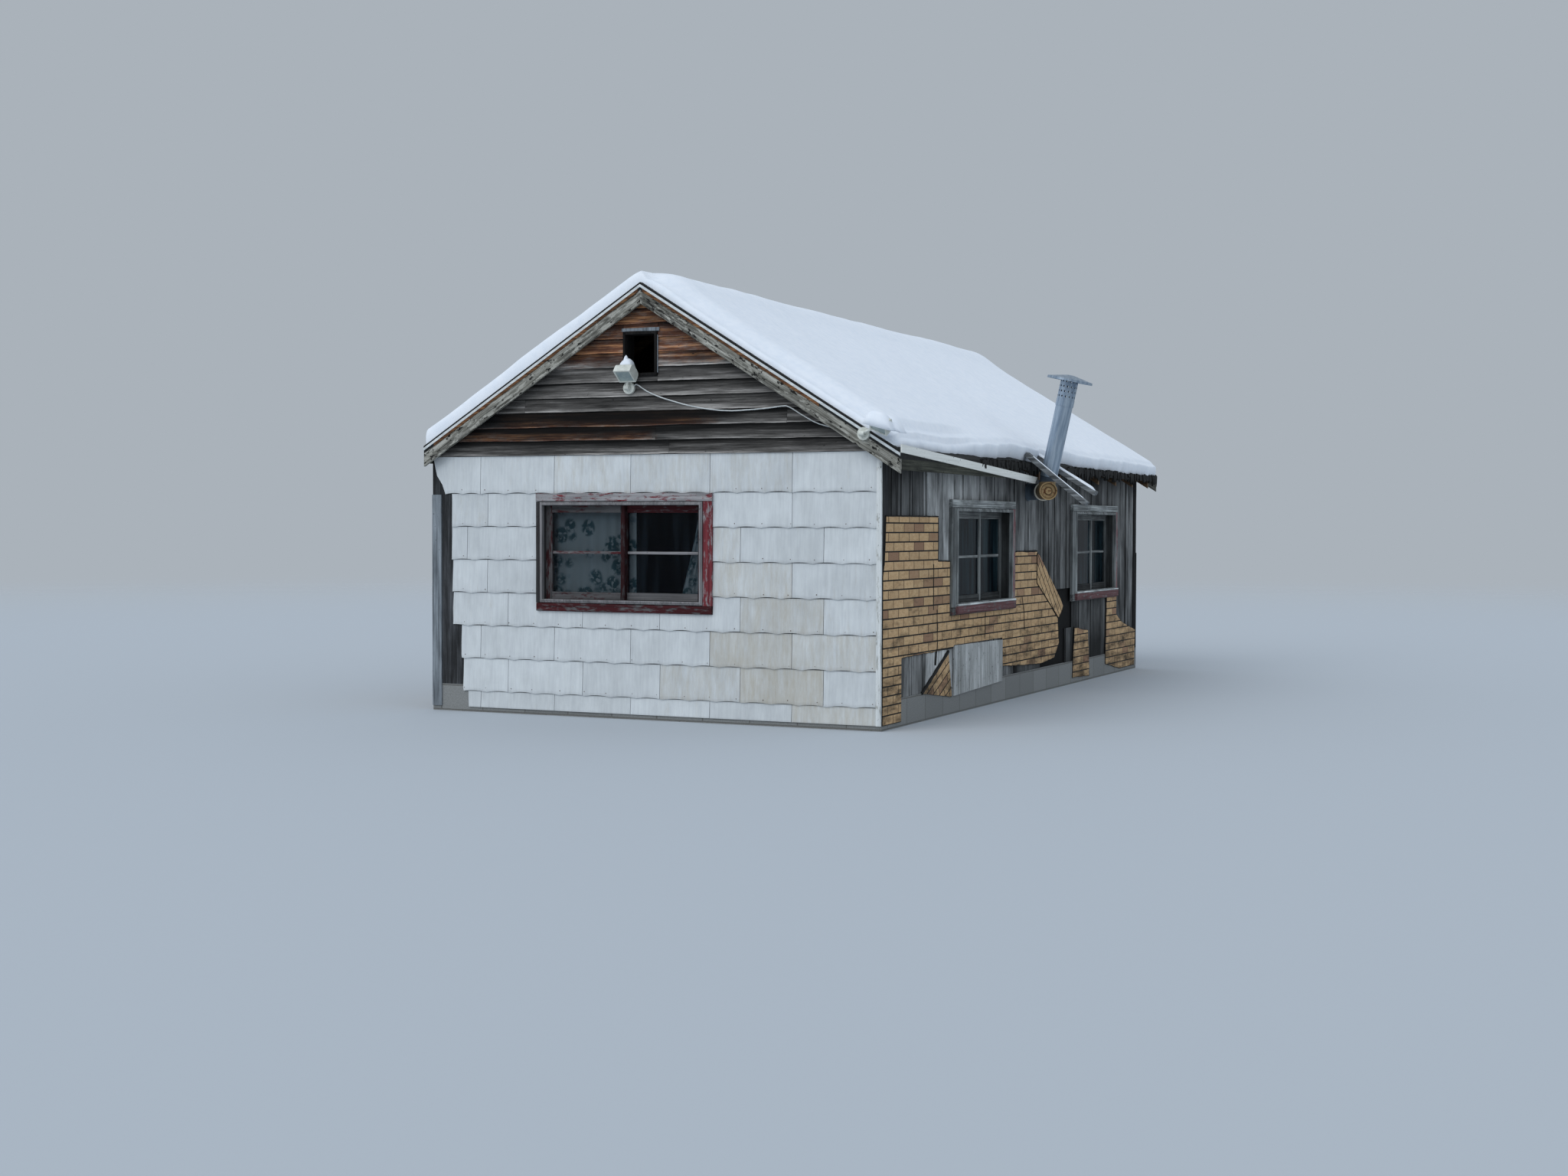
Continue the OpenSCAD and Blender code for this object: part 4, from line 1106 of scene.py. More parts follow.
@dataclass
class LapGable(Work):
    """A gable wall with warped lap boards that end under the roof."""

    side: Side
    foot: float = GABLE_FOOT
    exposure: float = 0.113
    butt: float = LAP_BUTT
    vent: Optional[Rect] = None
    joints: Mapping[int, float] = field(default_factory=dict)

    def redness(self, at: Vector) -> float:
        """Gives how much red-brown wood shows: most near the apex, and in two rows low on the left.

        Args:
            at: The point, in the wall's frame.

        Returns:
            The wear, from 0 to 1.
        """
        row = (at.z - self.foot) / self.exposure
        apex = 0.62 * smooth(at.z, 2.68, 2.86)
        lower = 0.56 * smooth(row, 0.95, 1.05) * (1 - smooth(row, 1.95, 2.1)) * (1 - smooth(at.x, 0.0, 0.2))
        upper = 0.66 * smooth(row, 1.95, 2.05) * (1 - smooth(row, 2.9, 3.05)) * (1 - smooth(at.x, 0.3, 0.9))
        upper *= smooth(at.x, -1.5, -1.2)
        return max(apex, lower, upper) + 0.12 * wave(at.x * 1.5, at.z * 14)

    def darkness(self, at: Vector) -> float:
        """Gives how dark the boards are weathered: most in the two red-brown rows.

        Args:
            at: The point, in the wall's frame.

        Returns:
            How much darker they are.
        """
        row = (at.z - self.foot) / self.exposure
        low = (1 - smooth(row, 2.9, 3.1)) * (1 - 0.35 * smooth(at.x, -0.1, 0.7))
        apex = smooth(at.z, 2.66, 2.9)
        spot = wave(at.x * 2.1, row * 0.9, 4.4) + apex * wave(at.x * 7, row * 1.7, 8.1)
        red = 0.12 * smooth(row, 0.9, 1.0) * (1 - smooth(row, 2.9, 3.1)) * (1 - smooth(at.x, 0.0, 0.9))
        return 0.5 * low + red - 1.05 * apex + (0.25 + 1.0 * apex) * spot

    def lap(self, draft: Draft, row: int, span: Pair, limits: Pair,
            tone: float) -> None:
        """Adds one lap board.

        Args:
            draft: The mesh that gets it.
            row: The number of its row.
            span: Where it starts and ends along the wall.
            limits: The lowest and the highest height that it may reach.
            tone: How light it is.
        """
        base = self.foot + row * self.exposure + 9 * MM * tone
        tilt = 0.009 * wave(row * 1.7, 3.1)
        full = self.exposure + 16 * MM
        # Light catches the butt's lower edge, and the board above throws its shadow on the upper part
        lights = {0.0: 1.4, 0.05: 1.25, 0.085: 0.3, 0.32: 0.06, 0.58: -0.34, 0.76: -0.68, 0.81: -0.95,
                  1.0: -0.97}
        firsts = []
        for x in spread(*span, 0.05):
            low = base + tilt * x + 7 * MM * wave(x * 2.2, row * 2.3) + 2.5 * MM * wave(x * 14, row)
            top = min(base + full, limits[1], self.hut.deck_under(x) - 2 * MM)
            low = min(max(low, limits[0]), top - 1 * MM)
            face = self.butt - 2 * MM + 2 * MM * wave(x * 3, row + 7.7)
            ring, shades = [(x, 0.0, low)], [0.0]
            for share, light in lights.items():
                z = low + (top - low) * share
                ring.append((x, -face * (1 - 0.75 * (z - low) / full), z))
                shades.append(light - self.darkness(Vector((x, 0, z))))
            ring.append((x, 0.0, top))
            shades.append(-0.7)
            firsts.append(draft.ring(ring, tone, self.redness, shades))
        draft.join(firsts, len(lights) + 2)

    def backing(self, draft: Draft) -> None:
        """Adds the framed wall behind the boards, round the vent's hole.

        Args:
            draft: The mesh that gets it.
        """
        full, peak = self.hut.x_right, self.hut.deck_under(0) - 1 * MM
        panels = [(self.foot, peak, -full, full)]
        if self.vent:
            left, right, low, high = self.vent
            panels = [(self.foot, low, -full, full), (low, high, -full, left), (low, high, right, full),
                      (high, peak, -full, full)]
        for z0, z1, x0, x1 in panels:
            foot, head = (min(full, self.hut.reach(z)) for z in (z0, z1))
            outline = [(max(x0, -foot), z0), (min(x1, foot), z0), (min(x1, head), z1), (max(x0, -head), z1)]
            draft.slab(outline, 0.0, WALL, slot=1)

    def pieces(self, row: int) -> list[tuple[Pair, Pair]]:
        """Gives the boards of a row, cut at its joint and round the vent.

        Args:
            row: The number of the row, from the foot.

        Returns:
            Each board's span along the wall and its lowest and highest height.
        """
        base = self.foot + row * self.exposure
        reach = min(self.hut.x_right, self.hut.reach(base)) - 4 * MM
        if reach < 0.03:
            return []
        free = (self.foot, math.inf)
        if self.vent and base + self.exposure > self.vent[2] + 5 * MM and base < self.vent[3] - 5 * MM:
            left, right, low, high = self.vent
            found = [((-reach, left - 3 * MM), free), ((right + 3 * MM, reach), free)]
            if base < low - 10 * MM:
                found.append(((left - 2 * MM, right + 2 * MM), (self.foot, low - 1 * MM)))
            if base + self.exposure > high + 10 * MM:
                found.append(((left - 2 * MM, right + 2 * MM), (high + 1 * MM, math.inf)))
            return found
        joint = self.joints.get(row, reach)
        spans = ((-reach, joint), (joint + 2 * MM, reach))
        return [(span, free) for span in spans if span[1] - span[0] > 0.02]

    def build(self, name: str, seed: int, *nodes: str) -> Piece:
        """Builds the wall and its boards.

        Args:
            name: The piece's name.
            seed: What the boards' tones depend on.
            nodes: The CAD nodes that the piece stands for.

        Returns:
            The piece.
        """
        rng = Random(seed)
        draft = Draft(self.side.frame(self.hut))
        self.backing(draft)
        rows = math.ceil((self.hut.deck_under(0) - self.foot) / self.exposure)
        for row in range(rows):
            for span, limits in self.pieces(row):
                self.lap(draft, row, span, limits, rng.uniform(-0.22, 0.3))
        piece = draft.build(name, [self.finishes["lap_boards"], self.finishes["shaded_sheathing"]])
        return keep(piece, "lap_siding", *nodes)


@dataclass
class BoardedWall(Work):
    """A wall of upright boards of uneven width; their gaps are black with painted shade, on the boards' sides
    and on a near-black lining behind them.
    """

    side: Side
    node: str
    span: Pair
    heights: Pair
    holes: Sequence[Rect]
    gaps: Sequence[float] = ()
    cracks: Mapping[float, float] = field(default_factory=dict)
    paleness: Outline = ((0.0, 0.0),)
    recess: float = 20 * MM
    widths: Pair = (0.1, 0.27)

    def stations(self, rng: Random) -> list[float]:
        """Gives the places where boards meet: at gaps and holes' edges, and more where these are far apart.

        Args:
            rng: Draws the widths of boards between given places.

        Returns:
            The places along the wall, in order.
        """
        edges = sorted({*self.span, *(edge for hole in self.holes for edge in hole[:2])})
        given = [g for g in self.gaps if min(abs(g - e) for e in edges) > 0.03]
        fixed = sorted([*edges, *given])
        widest = 0.5 if self.gaps else self.widths[1]
        places = [fixed[0]]
        for end in fixed[1:]:
            while end - places[-1] > widest:
                room = end - places[-1]
                places.append(places[-1] + min(rng.uniform(*self.widths), room / 2))
            places.append(end)
        return places

    def damp(self, at: Vector) -> float:
        """Gives the boards' shade: painted shade under the eave, dirt near the ground, stains, and pale where
        a sheet came off.

        Args:
            at: The point, in the wall's frame.

        Returns:
            How much lighter they are.
        """
        # Painted shade under the eave, where the roof overhangs the wall
        eave = smooth(at.z, 1.86, 2.08) * (0.35 + 0.3 * wave(at.x * 7, 1.3))
        ground = 0.35 * (1 - smooth(at.z, 0.25, 0.75))
        stain = 0.5 * smooth(wave(at.x * 3.1, at.z * 1.4, 7.7), 0.05, 0.45)
        bared = 0.85 * (1 - smooth(at.z, 0.8, 0.9)) * (1 - smooth(at.x, 1.3, 1.6))
        return 0.16 * wave(at.x * 6, at.z * 1.2, 2.2) + bared - eave - ground - stain

    def edged(self, face: float) -> Callable[[Vector], float]:
        """Gives the shade of a board whose face lies at a depth: its sides are painted black, as painted
        shade in the deep gaps.
        """
        return lambda at: self.damp(at) - (1.3 if at.y > face + 3.5 * MM else 0.0)

    def build(self, name: str, seed: int) -> Piece:
        """Builds the lining and the boards.

        Args:
            name: The piece's name.
            seed: What the boards' sizes and tones depend on.

        Returns:
            The piece.
        """
        rng = Random(seed)
        frame = self.side.frame(self.hut)
        inside = frame.inverted()

        def set_back(at: Vector) -> Vector:
            """Moves a point of the wall into its own frame and behind the boards."""
            local = inside @ at
            local.y = max(local.y, self.recess)
            return local

        draft = Draft(frame)
        draft.take(bpy.data.objects[self.node], set_back, slot=1)
        stations = self.stations(rng)
        for a, b in zip(stations, stations[1:]):
            gap = self.cracks.get(b, rng.choice((3, 5, 7, 10)) * MM)
            depth = self.recess - rng.uniform(0.5, 9) * MM
            middle = (a + b) / 2
            tone = between(self.paleness, middle) + rng.uniform(-0.14, 0.14)
            blocked = sorted(hole[2:] for hole in self.holes if hole[0] <= middle <= hole[1])
            lows = [self.heights[0], *(high for _, high in blocked)]
            highs = [*(low for low, _ in blocked), self.heights[1]]
            for low, high in zip(lows, highs):
                if high - low < 0.02:
                    continue
                corner = (b - gap / 2, self.recess, low + 1 * MM)
                size = (high - low - 2 * MM, b - a - gap, depth)
                draft.board(corner, UP, LEFTWARD, size, tone, rough=3.5 * MM, chamfer=6 * MM,
                            shade=self.edged(self.recess - depth))
        piece = draft.build(name, [self.finishes["wall_boards"], self.finishes["dark_lining"]])
        return keep(piece, "wall_boards", self.node)


@dataclass
class BrickSheet:
    """An asphalt-coated sheet with a pressed brick pattern, torn along its outline."""

    outline: Outline
    out: float = 0.0
    turn: float = 0.0
    corner: Pair = (0.0, CLADDING_FOOT)
    brick: float = BRICK
    course: float = COURSE
    felt: float = 7.2 * MM
    thick: float = 8 * MM
    bed_joint: float = 11 * MM
    head_joint: float = 10 * MM

    def add_to(self, draft: Draft, rng: Random) -> None:
        """Adds the felt and the bricks that lie inside the outline, in the wall's own frame.

        Args:
            draft: The mesh that gets them.
            rng: Draws each brick's looks.
        """
        cos, sin = math.cos(self.turn), math.sin(self.turn)
        cx, cz = self.corner

        def to_pattern(x: float, z: float) -> Pair:
            """Turns a point of the wall into the pattern's frame."""
            return ((x - cx) * cos + (z - cz) * sin, -(x - cx) * sin + (z - cz) * cos)

        def to_wall(u: float, v: float) -> Pair:
            """Turns a point of the pattern into the wall's frame."""
            return (cx + u * cos - v * sin, cz + u * sin + v * cos)

        flat = [to_pattern(*p) for p in self.outline]
        draft.slab(self.outline, -self.out - self.felt, -self.out, slot=1)
        shrunk = self.inset(flat, 4 * MM)
        low_u, low_v = (min(p[axis] for p in flat) for axis in (0, 1))
        high_u, high_v = (max(p[axis] for p in flat) for axis in (0, 1))
        head, bed = self.head_joint / 2, self.bed_joint / 2
        for row in range(math.floor(low_v / self.course), math.ceil(high_v / self.course)):
            stagger = self.brick / 2 * (row % 2)
            first = math.floor((low_u - stagger) / self.brick)
            last = math.ceil((high_u - stagger) / self.brick)
            for number in range(first, last):
                u = number * self.brick + stagger
                v = row * self.course
                red = rng.random() < 0.1
                tone = rng.uniform(-0.2, 0.2)
                lift = rng.uniform(-0.3, 0.3) * MM
                wear = rng.uniform(0.5, 0.9) if red else rng.uniform(0, 0.16)
                corners = clip(shrunk, (u + head, v + bed), (u + self.brick - head, v + self.course - bed))
                if len(corners) < 3 or abs(area_of(corners)) < 2e-4:
                    continue
                wall = [to_wall(*p) for p in corners]
                draft.slab(wall, -self.out - self.thick - lift, -self.out - self.felt + 1 * MM, tone, wear)

    @staticmethod
    def inset(outline: Outline, amount: float) -> list[Pair]:
        """Draws an outline's corners in.

        Args:
            outline: The outline.
            amount: How far its corners move.

        Returns:
            The smaller outline.
        """
        sign = 1.0 if area_of(outline) > 0 else -1.0
        moved = []
        count = len(outline)
        for i in range(count):
            before = Vector(outline[i]) - Vector(outline[i - 1])
            after = Vector(outline[(i + 1) % count]) - Vector(outline[i])
            normal = Vector((-before.y, before.x)).normalized() + Vector((-after.y, after.x)).normalized()
            if normal.length > 1e-6:
                normal.normalize()
            place = Vector(outline[i]) + normal * amount * sign
            moved.append((place.x, place.y))
        return moved


@dataclass
class BrickCladding(Work):
    """All the brick-pattern sheets, on the right, left and back wall."""

    brick: float = BRICK
    course: float = COURSE
    foot: float = CLADDING_FOOT
    patch: Pair = (1.557, 2.792)
    window_1: Pair = (1.45, 3.088)
    window_2: float = 4.87
    left_windows: Sequence[Pair] = ((-3.13, -1.492), (-6.55, -4.912))
    door_edge: float = 0.474
    sill: float = 0.8
    top: float = 16.8
    corner_top: float = 21.7

    def up(self, courses: float) -> float:
        """Gives the height of a number of courses."""
        return self.foot + courses * self.course

    def at(self, anchor: float, bricks: float, courses: float) -> Pair:
        """Gives a point of the pattern, some bricks from an anchor."""
        return (anchor + bricks * self.brick, self.up(courses))

    def torn(self, outline: Outline, seed: float) -> list[Pair]:
        """Roughens an outline's sloping edges, as torn felt is.

        Args:
            outline: The outline.
            seed: What its roughness depends on.

        Returns:
            The outline with more points.
        """
        made: list[Pair] = []
        for a, b in zip(outline, [*outline[1:], outline[0]]):
            made.append(a)
            length = math.dist(a, b)
            if length < 0.1 or abs(a[0] - b[0]) < 1e-6 or abs(a[1] - b[1]) < 1e-6:
                continue
            for t in spread(0, 1, 0.06 / length)[1:-1]:
                x = a[0] + (b[0] - a[0]) * t
                z = a[1] + (b[1] - a[1]) * t
                push = 9 * MM * wave(x * 11, z * 11, seed)
                made.append((x - push * (b[1] - a[1]) / length, z + push * (b[0] - a[0]) / length))
        return made

    def crack(self, draft: Draft, line: Outline, width: float, depth: float = 11 * MM) -> None:
        """Adds a black line of bare, curled felt where a sheet ends or has split.

        Args:
            draft: The mesh that gets it.
            line: Its points on the wall.
            width: Its width.
            depth: How far it stands out.
        """
        for (x0, z0), (x1, z1) in zip(line, line[1:]):
            along = Vector((x1 - x0, 0, z1 - z0))
            across = Vector((along.z, 0, -along.x)).normalized() * width
            rings = []
            for t in spread(0, 1, 0.07 / along.length):
                at = Vector((x0, 0, z0)) + along * t
                half = across * (0.5 + 0.3 * wave(at.x * 17, at.z * 17, 3.1))
                crest = at + Vector((0, -depth, 0))
                rings.append([at - half, at + half, crest + half * 0.7, crest - half * 0.7])
            draft.loft(rings, slot=1)

    def piece(self, name: str, side: Side, sheets: Sequence[BrickSheet], seed: int,
              *nodes: str, cracks: Sequence[Outline] = (), width: float = 11 * MM) -> Piece:
        """Builds one piece from its sheets and its cracks.

        Args:
            name: The piece's name.
            side: The wall that it hangs on.
            sheets: Its sheets.
            seed: What its bricks' looks depend on.
            nodes: The CAD nodes that it stands for.
            cracks: Its black lines.
            width: Their width.

        Returns:
            The piece.
        """
        rng = Random(seed)
        draft = Draft(side.frame(self.hut))
        for sheet in sheets:
            sheet.add_to(draft, rng)
        for line in cracks:
            self.crack(draft, line, width)
        made = draft.build(name, [self.finishes["buff_granules"], self.finishes["asphalt_felt"]])
        return keep(made, "brick_sheet", *nodes)

    def front(self) -> None:
        """Builds the large sheet at the front of the right wall, with its splits."""
        at, up = self.at, self.up
        lo, hi = self.window_1
        p0, p1 = self.patch
        step = 5.5 * self.brick
        sheet = [at(0, 0, 0), at(0, 1.8, 0), at(0, 1.8, 6.7), at(p0, -0.1, 6.9), (p0, up(7.2)), (p1, up(7.2)),
                 (p1, up(3.8)), at(hi, 1, 3.4), at(hi, 4, 3.1), at(hi, 5.9, 3.5), at(hi, 6.6, 5.4),
                 at(hi, 6.4, 8.6), at(hi, 3.4, 13.4), at(hi, 3.3, 17.5), at(hi, 0, 17.6), (hi, self.sill),
                 (lo, self.sill), (lo, up(self.top)), (step, up(self.top)), (step, up(self.corner_top)),
                 (0.06, up(self.corner_top)), (0.03, up(17)), (0, up(15.5))]
        cracks = [[(0.05, up(21.7)), (step, up(21.75))], [(step, up(21.6)), (step, up(16.9))],
                  [(step, up(16.85)), (lo, up(16.75))], [(0.02, up(16.6)), (0.05, up(21.6))],
                  [(hi, up(17.6)), at(hi, 3.3, 17.6)],
                  [at(hi, 3.35, 17.4), at(hi, 3.45, 13.5), at(hi, 6.4, 8.7)],
                  [(1.07, 1.22), (1.07, 0.86)], [(1.15, 0.86), (1.16, 0.6), (1.13, 0.42)],
                  [(2.33, 0.79), (2.32, 0.57)], [(3.34, 0.9), (3.4, 0.75), (3.42, 0.6)],
                  [at(hi, 6.6, 5.4), at(hi, 6.4, 8.6)]]
        self.piece("brick_sheet_front", Side.RIGHT, [BrickSheet(self.torn(sheet, 1))], 21,
                   "brick_siding_front", cracks=cracks)

    def rear(self) -> None:
        """Builds the two sheets that are left at the rear of the right wall."""
        at, casing, end = self.at, self.window_2, self.hut.y_back - self.hut.y_front
        first = [at(casing, 0.4, 0.3), at(casing, 3.2, 0), at(casing, 3.1, 3), at(casing, 2.9, 6.4),
                 at(casing, 0.7, 7.1), at(casing, 0.5, 3.6)]
        second = [at(end, -5.8, 1.1), at(end, -3.2, 0), at(end, -0.4, 0), at(end, -0.3, 5.3),
                  at(end, -2.7, 6.7), at(end, -3.9, 8), (end - 3.9 * self.brick, self.sill),
                  (end - 5.7 * self.brick, self.sill)]
        sheets = [BrickSheet(self.torn(first, 2)), BrickSheet(self.torn(second, 3))]
        self.piece("brick_sheet_rear", Side.RIGHT, sheets, 22, "brick_siding_rear")

    def loose(self) -> None:
        """Builds the flap that hangs askew and the sheet that has fallen."""
        at, hi = self.at, self.window_1[1]
        flap = [at(hi, 3.2, 17.3), at(hi, 3.5, 17.1), at(hi, 7.2, 10.2), at(hi, 6.4, 8.7), at(hi, 3.2, 13.5)]
        fallen = [at(self.patch[0], *place) for place in ((-0.6, 6.5), (-3.4, 2.5), (-0.2, 1.4))]
        sheets = [BrickSheet(flap, out=8 * MM, turn=math.radians(-40), corner=flap[0]),
                  BrickSheet(fallen, turn=math.radians(24), corner=fallen[0])]
        curled = [[fallen[1], (fallen[0][0] + 0.01, fallen[0][1] + 0.01)]]
        self.piece("brick_sheet_loose", Side.RIGHT, sheets, 23, "brick_siding_loose", cracks=curled,
                   width=30 * MM)

    def whole(self) -> None:
        """Builds the whole sheets of the left and the back wall."""
        foot, top, half = self.up(0), self.up(self.top), self.hut.x_right
        # On the left wall the frame's X runs towards the front, so that distances are negative
        near, far = self.left_windows
        left = [(self.hut.y_front - self.hut.y_back, far[0], top), (far[1], near[0], top),
                (near[1], 0, self.up(self.corner_top)), (*near, self.sill), (*far, self.sill)]
        back = [(-half, -self.door_edge, top), (self.door_edge, half, top)]
        for name, side, seed, bands in (("left", Side.LEFT, 24, left), ("back", Side.BACK, 25, back)):
            sheets = [BrickSheet([(a, foot), (b, foot), (b, high), (a, high)]) for a, b, high in bands]
            self.piece("brick_sheet_" + name, side, sheets, seed, "brick_siding_" + name)

    def build(self) -> None:
        """Builds the sheets of each wall."""
        for part in (self.front, self.rear, self.loose, self.whole):
            part()


@dataclass
class Window:
    """A sliding window: casing boards, a mitred moulding, a lining, and two sashes of two panes each."""

    opening_w: float = 1.4
    opening_h: float = 0.745
    casing_h: float = 0.935
    casing_t: float = 28 * MM
    moulding: float = 26 * MM
    proud: float = 6 * MM
    lining: float = 20 * MM
    wall: float = WALL
    stile: float = 58 * MM
    meeting: float = 38 * MM
    muntin: float = 22 * MM
    sash_t: float = 35 * MM
    depths: Pair = (28 * MM, 68 * MM)

    def bottom(self) -> float:
        """Gives the height of the opening's lower edge over the casing's foot."""
        return (self.casing_h - self.opening_h) / 2

    def surround(self, draft: Draft, profile: Outline, tone: float, look: Pair) -> None:
        """Adds a mitred frame round the opening.

        Args:
            draft: The mesh that gets it.
            profile: Its profile, as points of distance outwards and depth.
            tone: How light it is.
            look: Its wear and its shade.
        """
        half, z0 = self.opening_w / 2, self.bottom()
        corners = ((-1, z0, -1), (1, z0, -1), (1, z0 + self.opening_h, 1), (-1, z0 + self.opening_h, 1))
        rings = [[(sx * (half + a), y, z + sz * a) for a, y in profile] for sx, z, sz in corners]
        draft.loft(rings, tone, look[0], closed=True, shade=look[1])

    def bar(self, draft: Draft, corner: Triple, upright: bool, size: Triple, look: Pair, tone: float = 0.0,
            rough: float = 2.5 * MM) -> None:
        """Adds one board of the window.

        Args:
            draft: The mesh that gets it.
            corner: Its right foot where it is upright, else its lower left end.
            upright: Whether it stands.
            size: Its length, width and thickness.
            look: Its wear and its shade.
            tone: How light it is.
            rough: How far its edges wander.
        """
        along, across = (UP, LEFTWARD) if upright else (LEVEL, UP)
        draft.board(corner, along, across, size, tone, look[0], 0 if upright else 1, rough, chamfer=3 * MM,
                    shade=look[1])

    def casing(self, draft: Draft, left: float, right: float, coats: Mapping[str, Pair]) -> None:
        """Adds the four casing boards, butted under the head board.

        Args:
            draft: The mesh that gets them.
            left: How far the casing reaches left of the opening.
            right: How far it reaches right of the opening.
            coats: Each board's wear and shade.
        """
        half, z0 = self.opening_w / 2, self.bottom()
        z1 = z0 + self.opening_h
        inner = self.moulding + 5 * MM
        x0, x1 = -half - left, half + right
        self.bar(draft, (x0, 0, z1 + inner), False, (x1 - x0, self.casing_h - z1 - inner, self.casing_t),
                 coats["head"], 0.15)
        self.bar(draft, (x0 + 4 * MM, 0, 0), False, (x1 - x0 - 8 * MM, z0 - inner, self.casing_t),
                 coats["foot"], -0.05)
        tall = z1 + inner - (z0 - inner) - 4 * MM
        for a, b, name in ((x0, -half - inner, "left"), (half + inner, x1, "right")):
            size = (tall, b - a, self.casing_t - 1 * MM)
            self.bar(draft, (b, 0, z0 - inner + 2 * MM), True, size, coats[name], 0.05)

    def sash(self, draft: Draft, number: int, coats: Mapping[str, Pair]) -> None:
        """Adds one sash: two stiles, two rails and the bar between its panes.

        Args:
            draft: The mesh that gets it.
            number: 0 for the left sash and 1 for the right one.
            coats: Each board's wear and shade.
        """
        half, z0, tall = self.opening_w / 2, self.bottom(), self.opening_h
        inner = self.meeting / 2
        y = self.depths[number] + self.sash_t
        hand = ("left", "right")[number]
        stiles = [(-half, -half + self.stile, "stile_left"), (-inner, inner, "meeting")]
        if number == 1:
            stiles = [(-inner, inner, "meeting"), (half - self.stile, half, "stile_right")]
        for a, b, name in stiles:
            self.bar(draft, (b, y, z0), True, (tall, b - a, self.sash_t), coats[name], -0.1, 1 * MM)
        x0, x1 = stiles[0][1], stiles[1][0]
        pane = (tall - 2 * self.stile - self.muntin) / 2
        rails = [(z0, self.stile, "foot_"), (z0 + self.stile + pane, self.muntin, "bar_"),
                 (z0 + tall - self.stile, self.stile, "rail_")]
        for z, height, name in rails:
            size = (x1 - x0, height, self.sash_t * (0.7 if name == "bar_" else 1.0))
            self.bar(draft, (x0, y, z), False, size, coats[name + hand], -0.05, 1 * MM)

    def add_to(self, draft: Draft, left: float, right: float, coats: Mapping[str, Pair]) -> None:
        """Adds the whole window, drawn on the wall's face with its opening centred on X.

        Args:
            draft: The mesh that gets it.
            left: How far the casing reaches left of the opening.
            right: How far it reaches right of the opening.
            coats: Each part's wear and shade.
        """
        self.casing(draft, left, right, coats)
        out = -self.casing_t - self.proud
        m = self.moulding
        ogee = [(0, 0), (0, out + 4 * MM), (4 * MM, out), (m * 0.45, out), (m * 0.6, out + 5 * MM),
                (m - 3 * MM, out + 6 * MM), (m, out + 9 * MM), (m, 0)]
        lining = [(0, 0), (self.lining, 0), (self.lining, self.wall), (0, self.wall)]
        self.surround(draft, ogee, 0.25, coats["moulding"])
        self.surround(draft, lining, -0.1, coats["lining"])
        for number in (0, 1):
            self.sash(draft, number, coats)

    def sill(self, draft: Draft) -> None:
        """Adds the sill board under a side window, painted lighter on top and darker below as painted light,
        with a pale bare strip along its top brightened by a painted highlight.

        Args:
            draft: The mesh that gets it.
        """
        half = self.opening_w / 2 + self.stile
        strip = 15 * MM
        height = self.bottom() - 12 * MM - strip
        back, foot = -self.casing_t + 1 * MM, 6 * MM
        # Painted light: the board's top points are lighter, its front and underside darker
        draft.board((-half, back, foot), LEVEL, UP, (2 * half, height, 23 * MM), 0.0, 0.52, 1, 2.5 * MM,
                    chamfer=6 * MM, shade=(-0.2, 0.3, 0.3, -0.1, -0.3, -0.3))
        # The strip is bare wood, and its shade of 1.3 is a painted highlight
        size = (2 * half - 12 * MM, strip, 27 * MM)
        draft.board((-half + 4 * MM, back, foot + height), LEVEL, UP, size, 0.4, -0.5, 1, 3 * MM,
                    chamfer=5 * MM, shade=1.3)


@dataclass
class Windows(Work):
    """The front window and the pairs in the side walls."""

    window: Window = field(default_factory=Window)
    front_x: float = -0.22
    front_z: float = 0.835
    side_z: float = 0.8

    def build(self) -> None:
        """Builds the three nodes' windows."""
        # Each part's share of paint and how much lighter it is; the linings' low values are painted shade in
        # the window's recess
        front = {"head": (0.36, -0.06), "foot": (0.5, -0.6), "left": (0.3, -0.9), "right": (0.5, 0.0),
                 "moulding": (0.2, -0.52), "lining": (0.2, -0.8), "stile_left": (0.4, -0.66),
                 "meeting": (0.5, -0.76), "stile_right": (0.44, -0.66), "rail_left": (0.36, -0.66),
                 "rail_right": (0.52, -0.6), "foot_left": (0.34, -0.66), "foot_right": (-0.2, -0.5),
                 "bar_left": (0.42, -0.4), "bar_right": (-0.3, -0.1)}
        sides = {"head": (0.05, 0.4), "foot": (0.3, -0.3), "left": (0.2, -0.1), "right": (0.46, 0.2),
                 "moulding": (0.12, 0.0), "lining": (0.0, -0.7), "stile_left": (-0.1, -0.45),
                 "meeting": (-0.3, 0.2), "stile_right": (-0.1, -0.4), "rail_left": (-0.1, -0.3),
                 "rail_right": (-0.1, -0.3), "foot_left": (-0.1, -0.7), "foot_right": (-0.1, -0.7),
                 "bar_left": (-0.3, 0.3), "bar_right": (-0.3, 0.2)}
        draft = Draft(Matrix.Translation((self.front_x, self.hut.y_front, self.front_z)))
        self.window.add_to(draft, 60 * MM, 110 * MM, front)
        woods = [self.finishes["window_wood_upright"], self.finishes["window_wood_level"]]
        keep(draft.build("front_window_wood", woods), "window_wood", "front_window")
        woods = [self.finishes["side_window_wood_upright"], self.finishes["side_window_wood_level"]]
        for side, sign, node in ((Side.RIGHT, 1, "right_windows"), (Side.LEFT, -1, "left_windows")):
            draft = Draft()
            for y in SIDE_WINDOWS:
                draft.frame = side.frame(self.hut) @ Matrix.Translation((sign * y, 0, self.side_z))
                self.window.add_to(draft, 140 * MM, 98 * MM, sides)
                self.window.sill(draft)
            keep(draft.build(node + "_wood", woods), "window_wood", node)


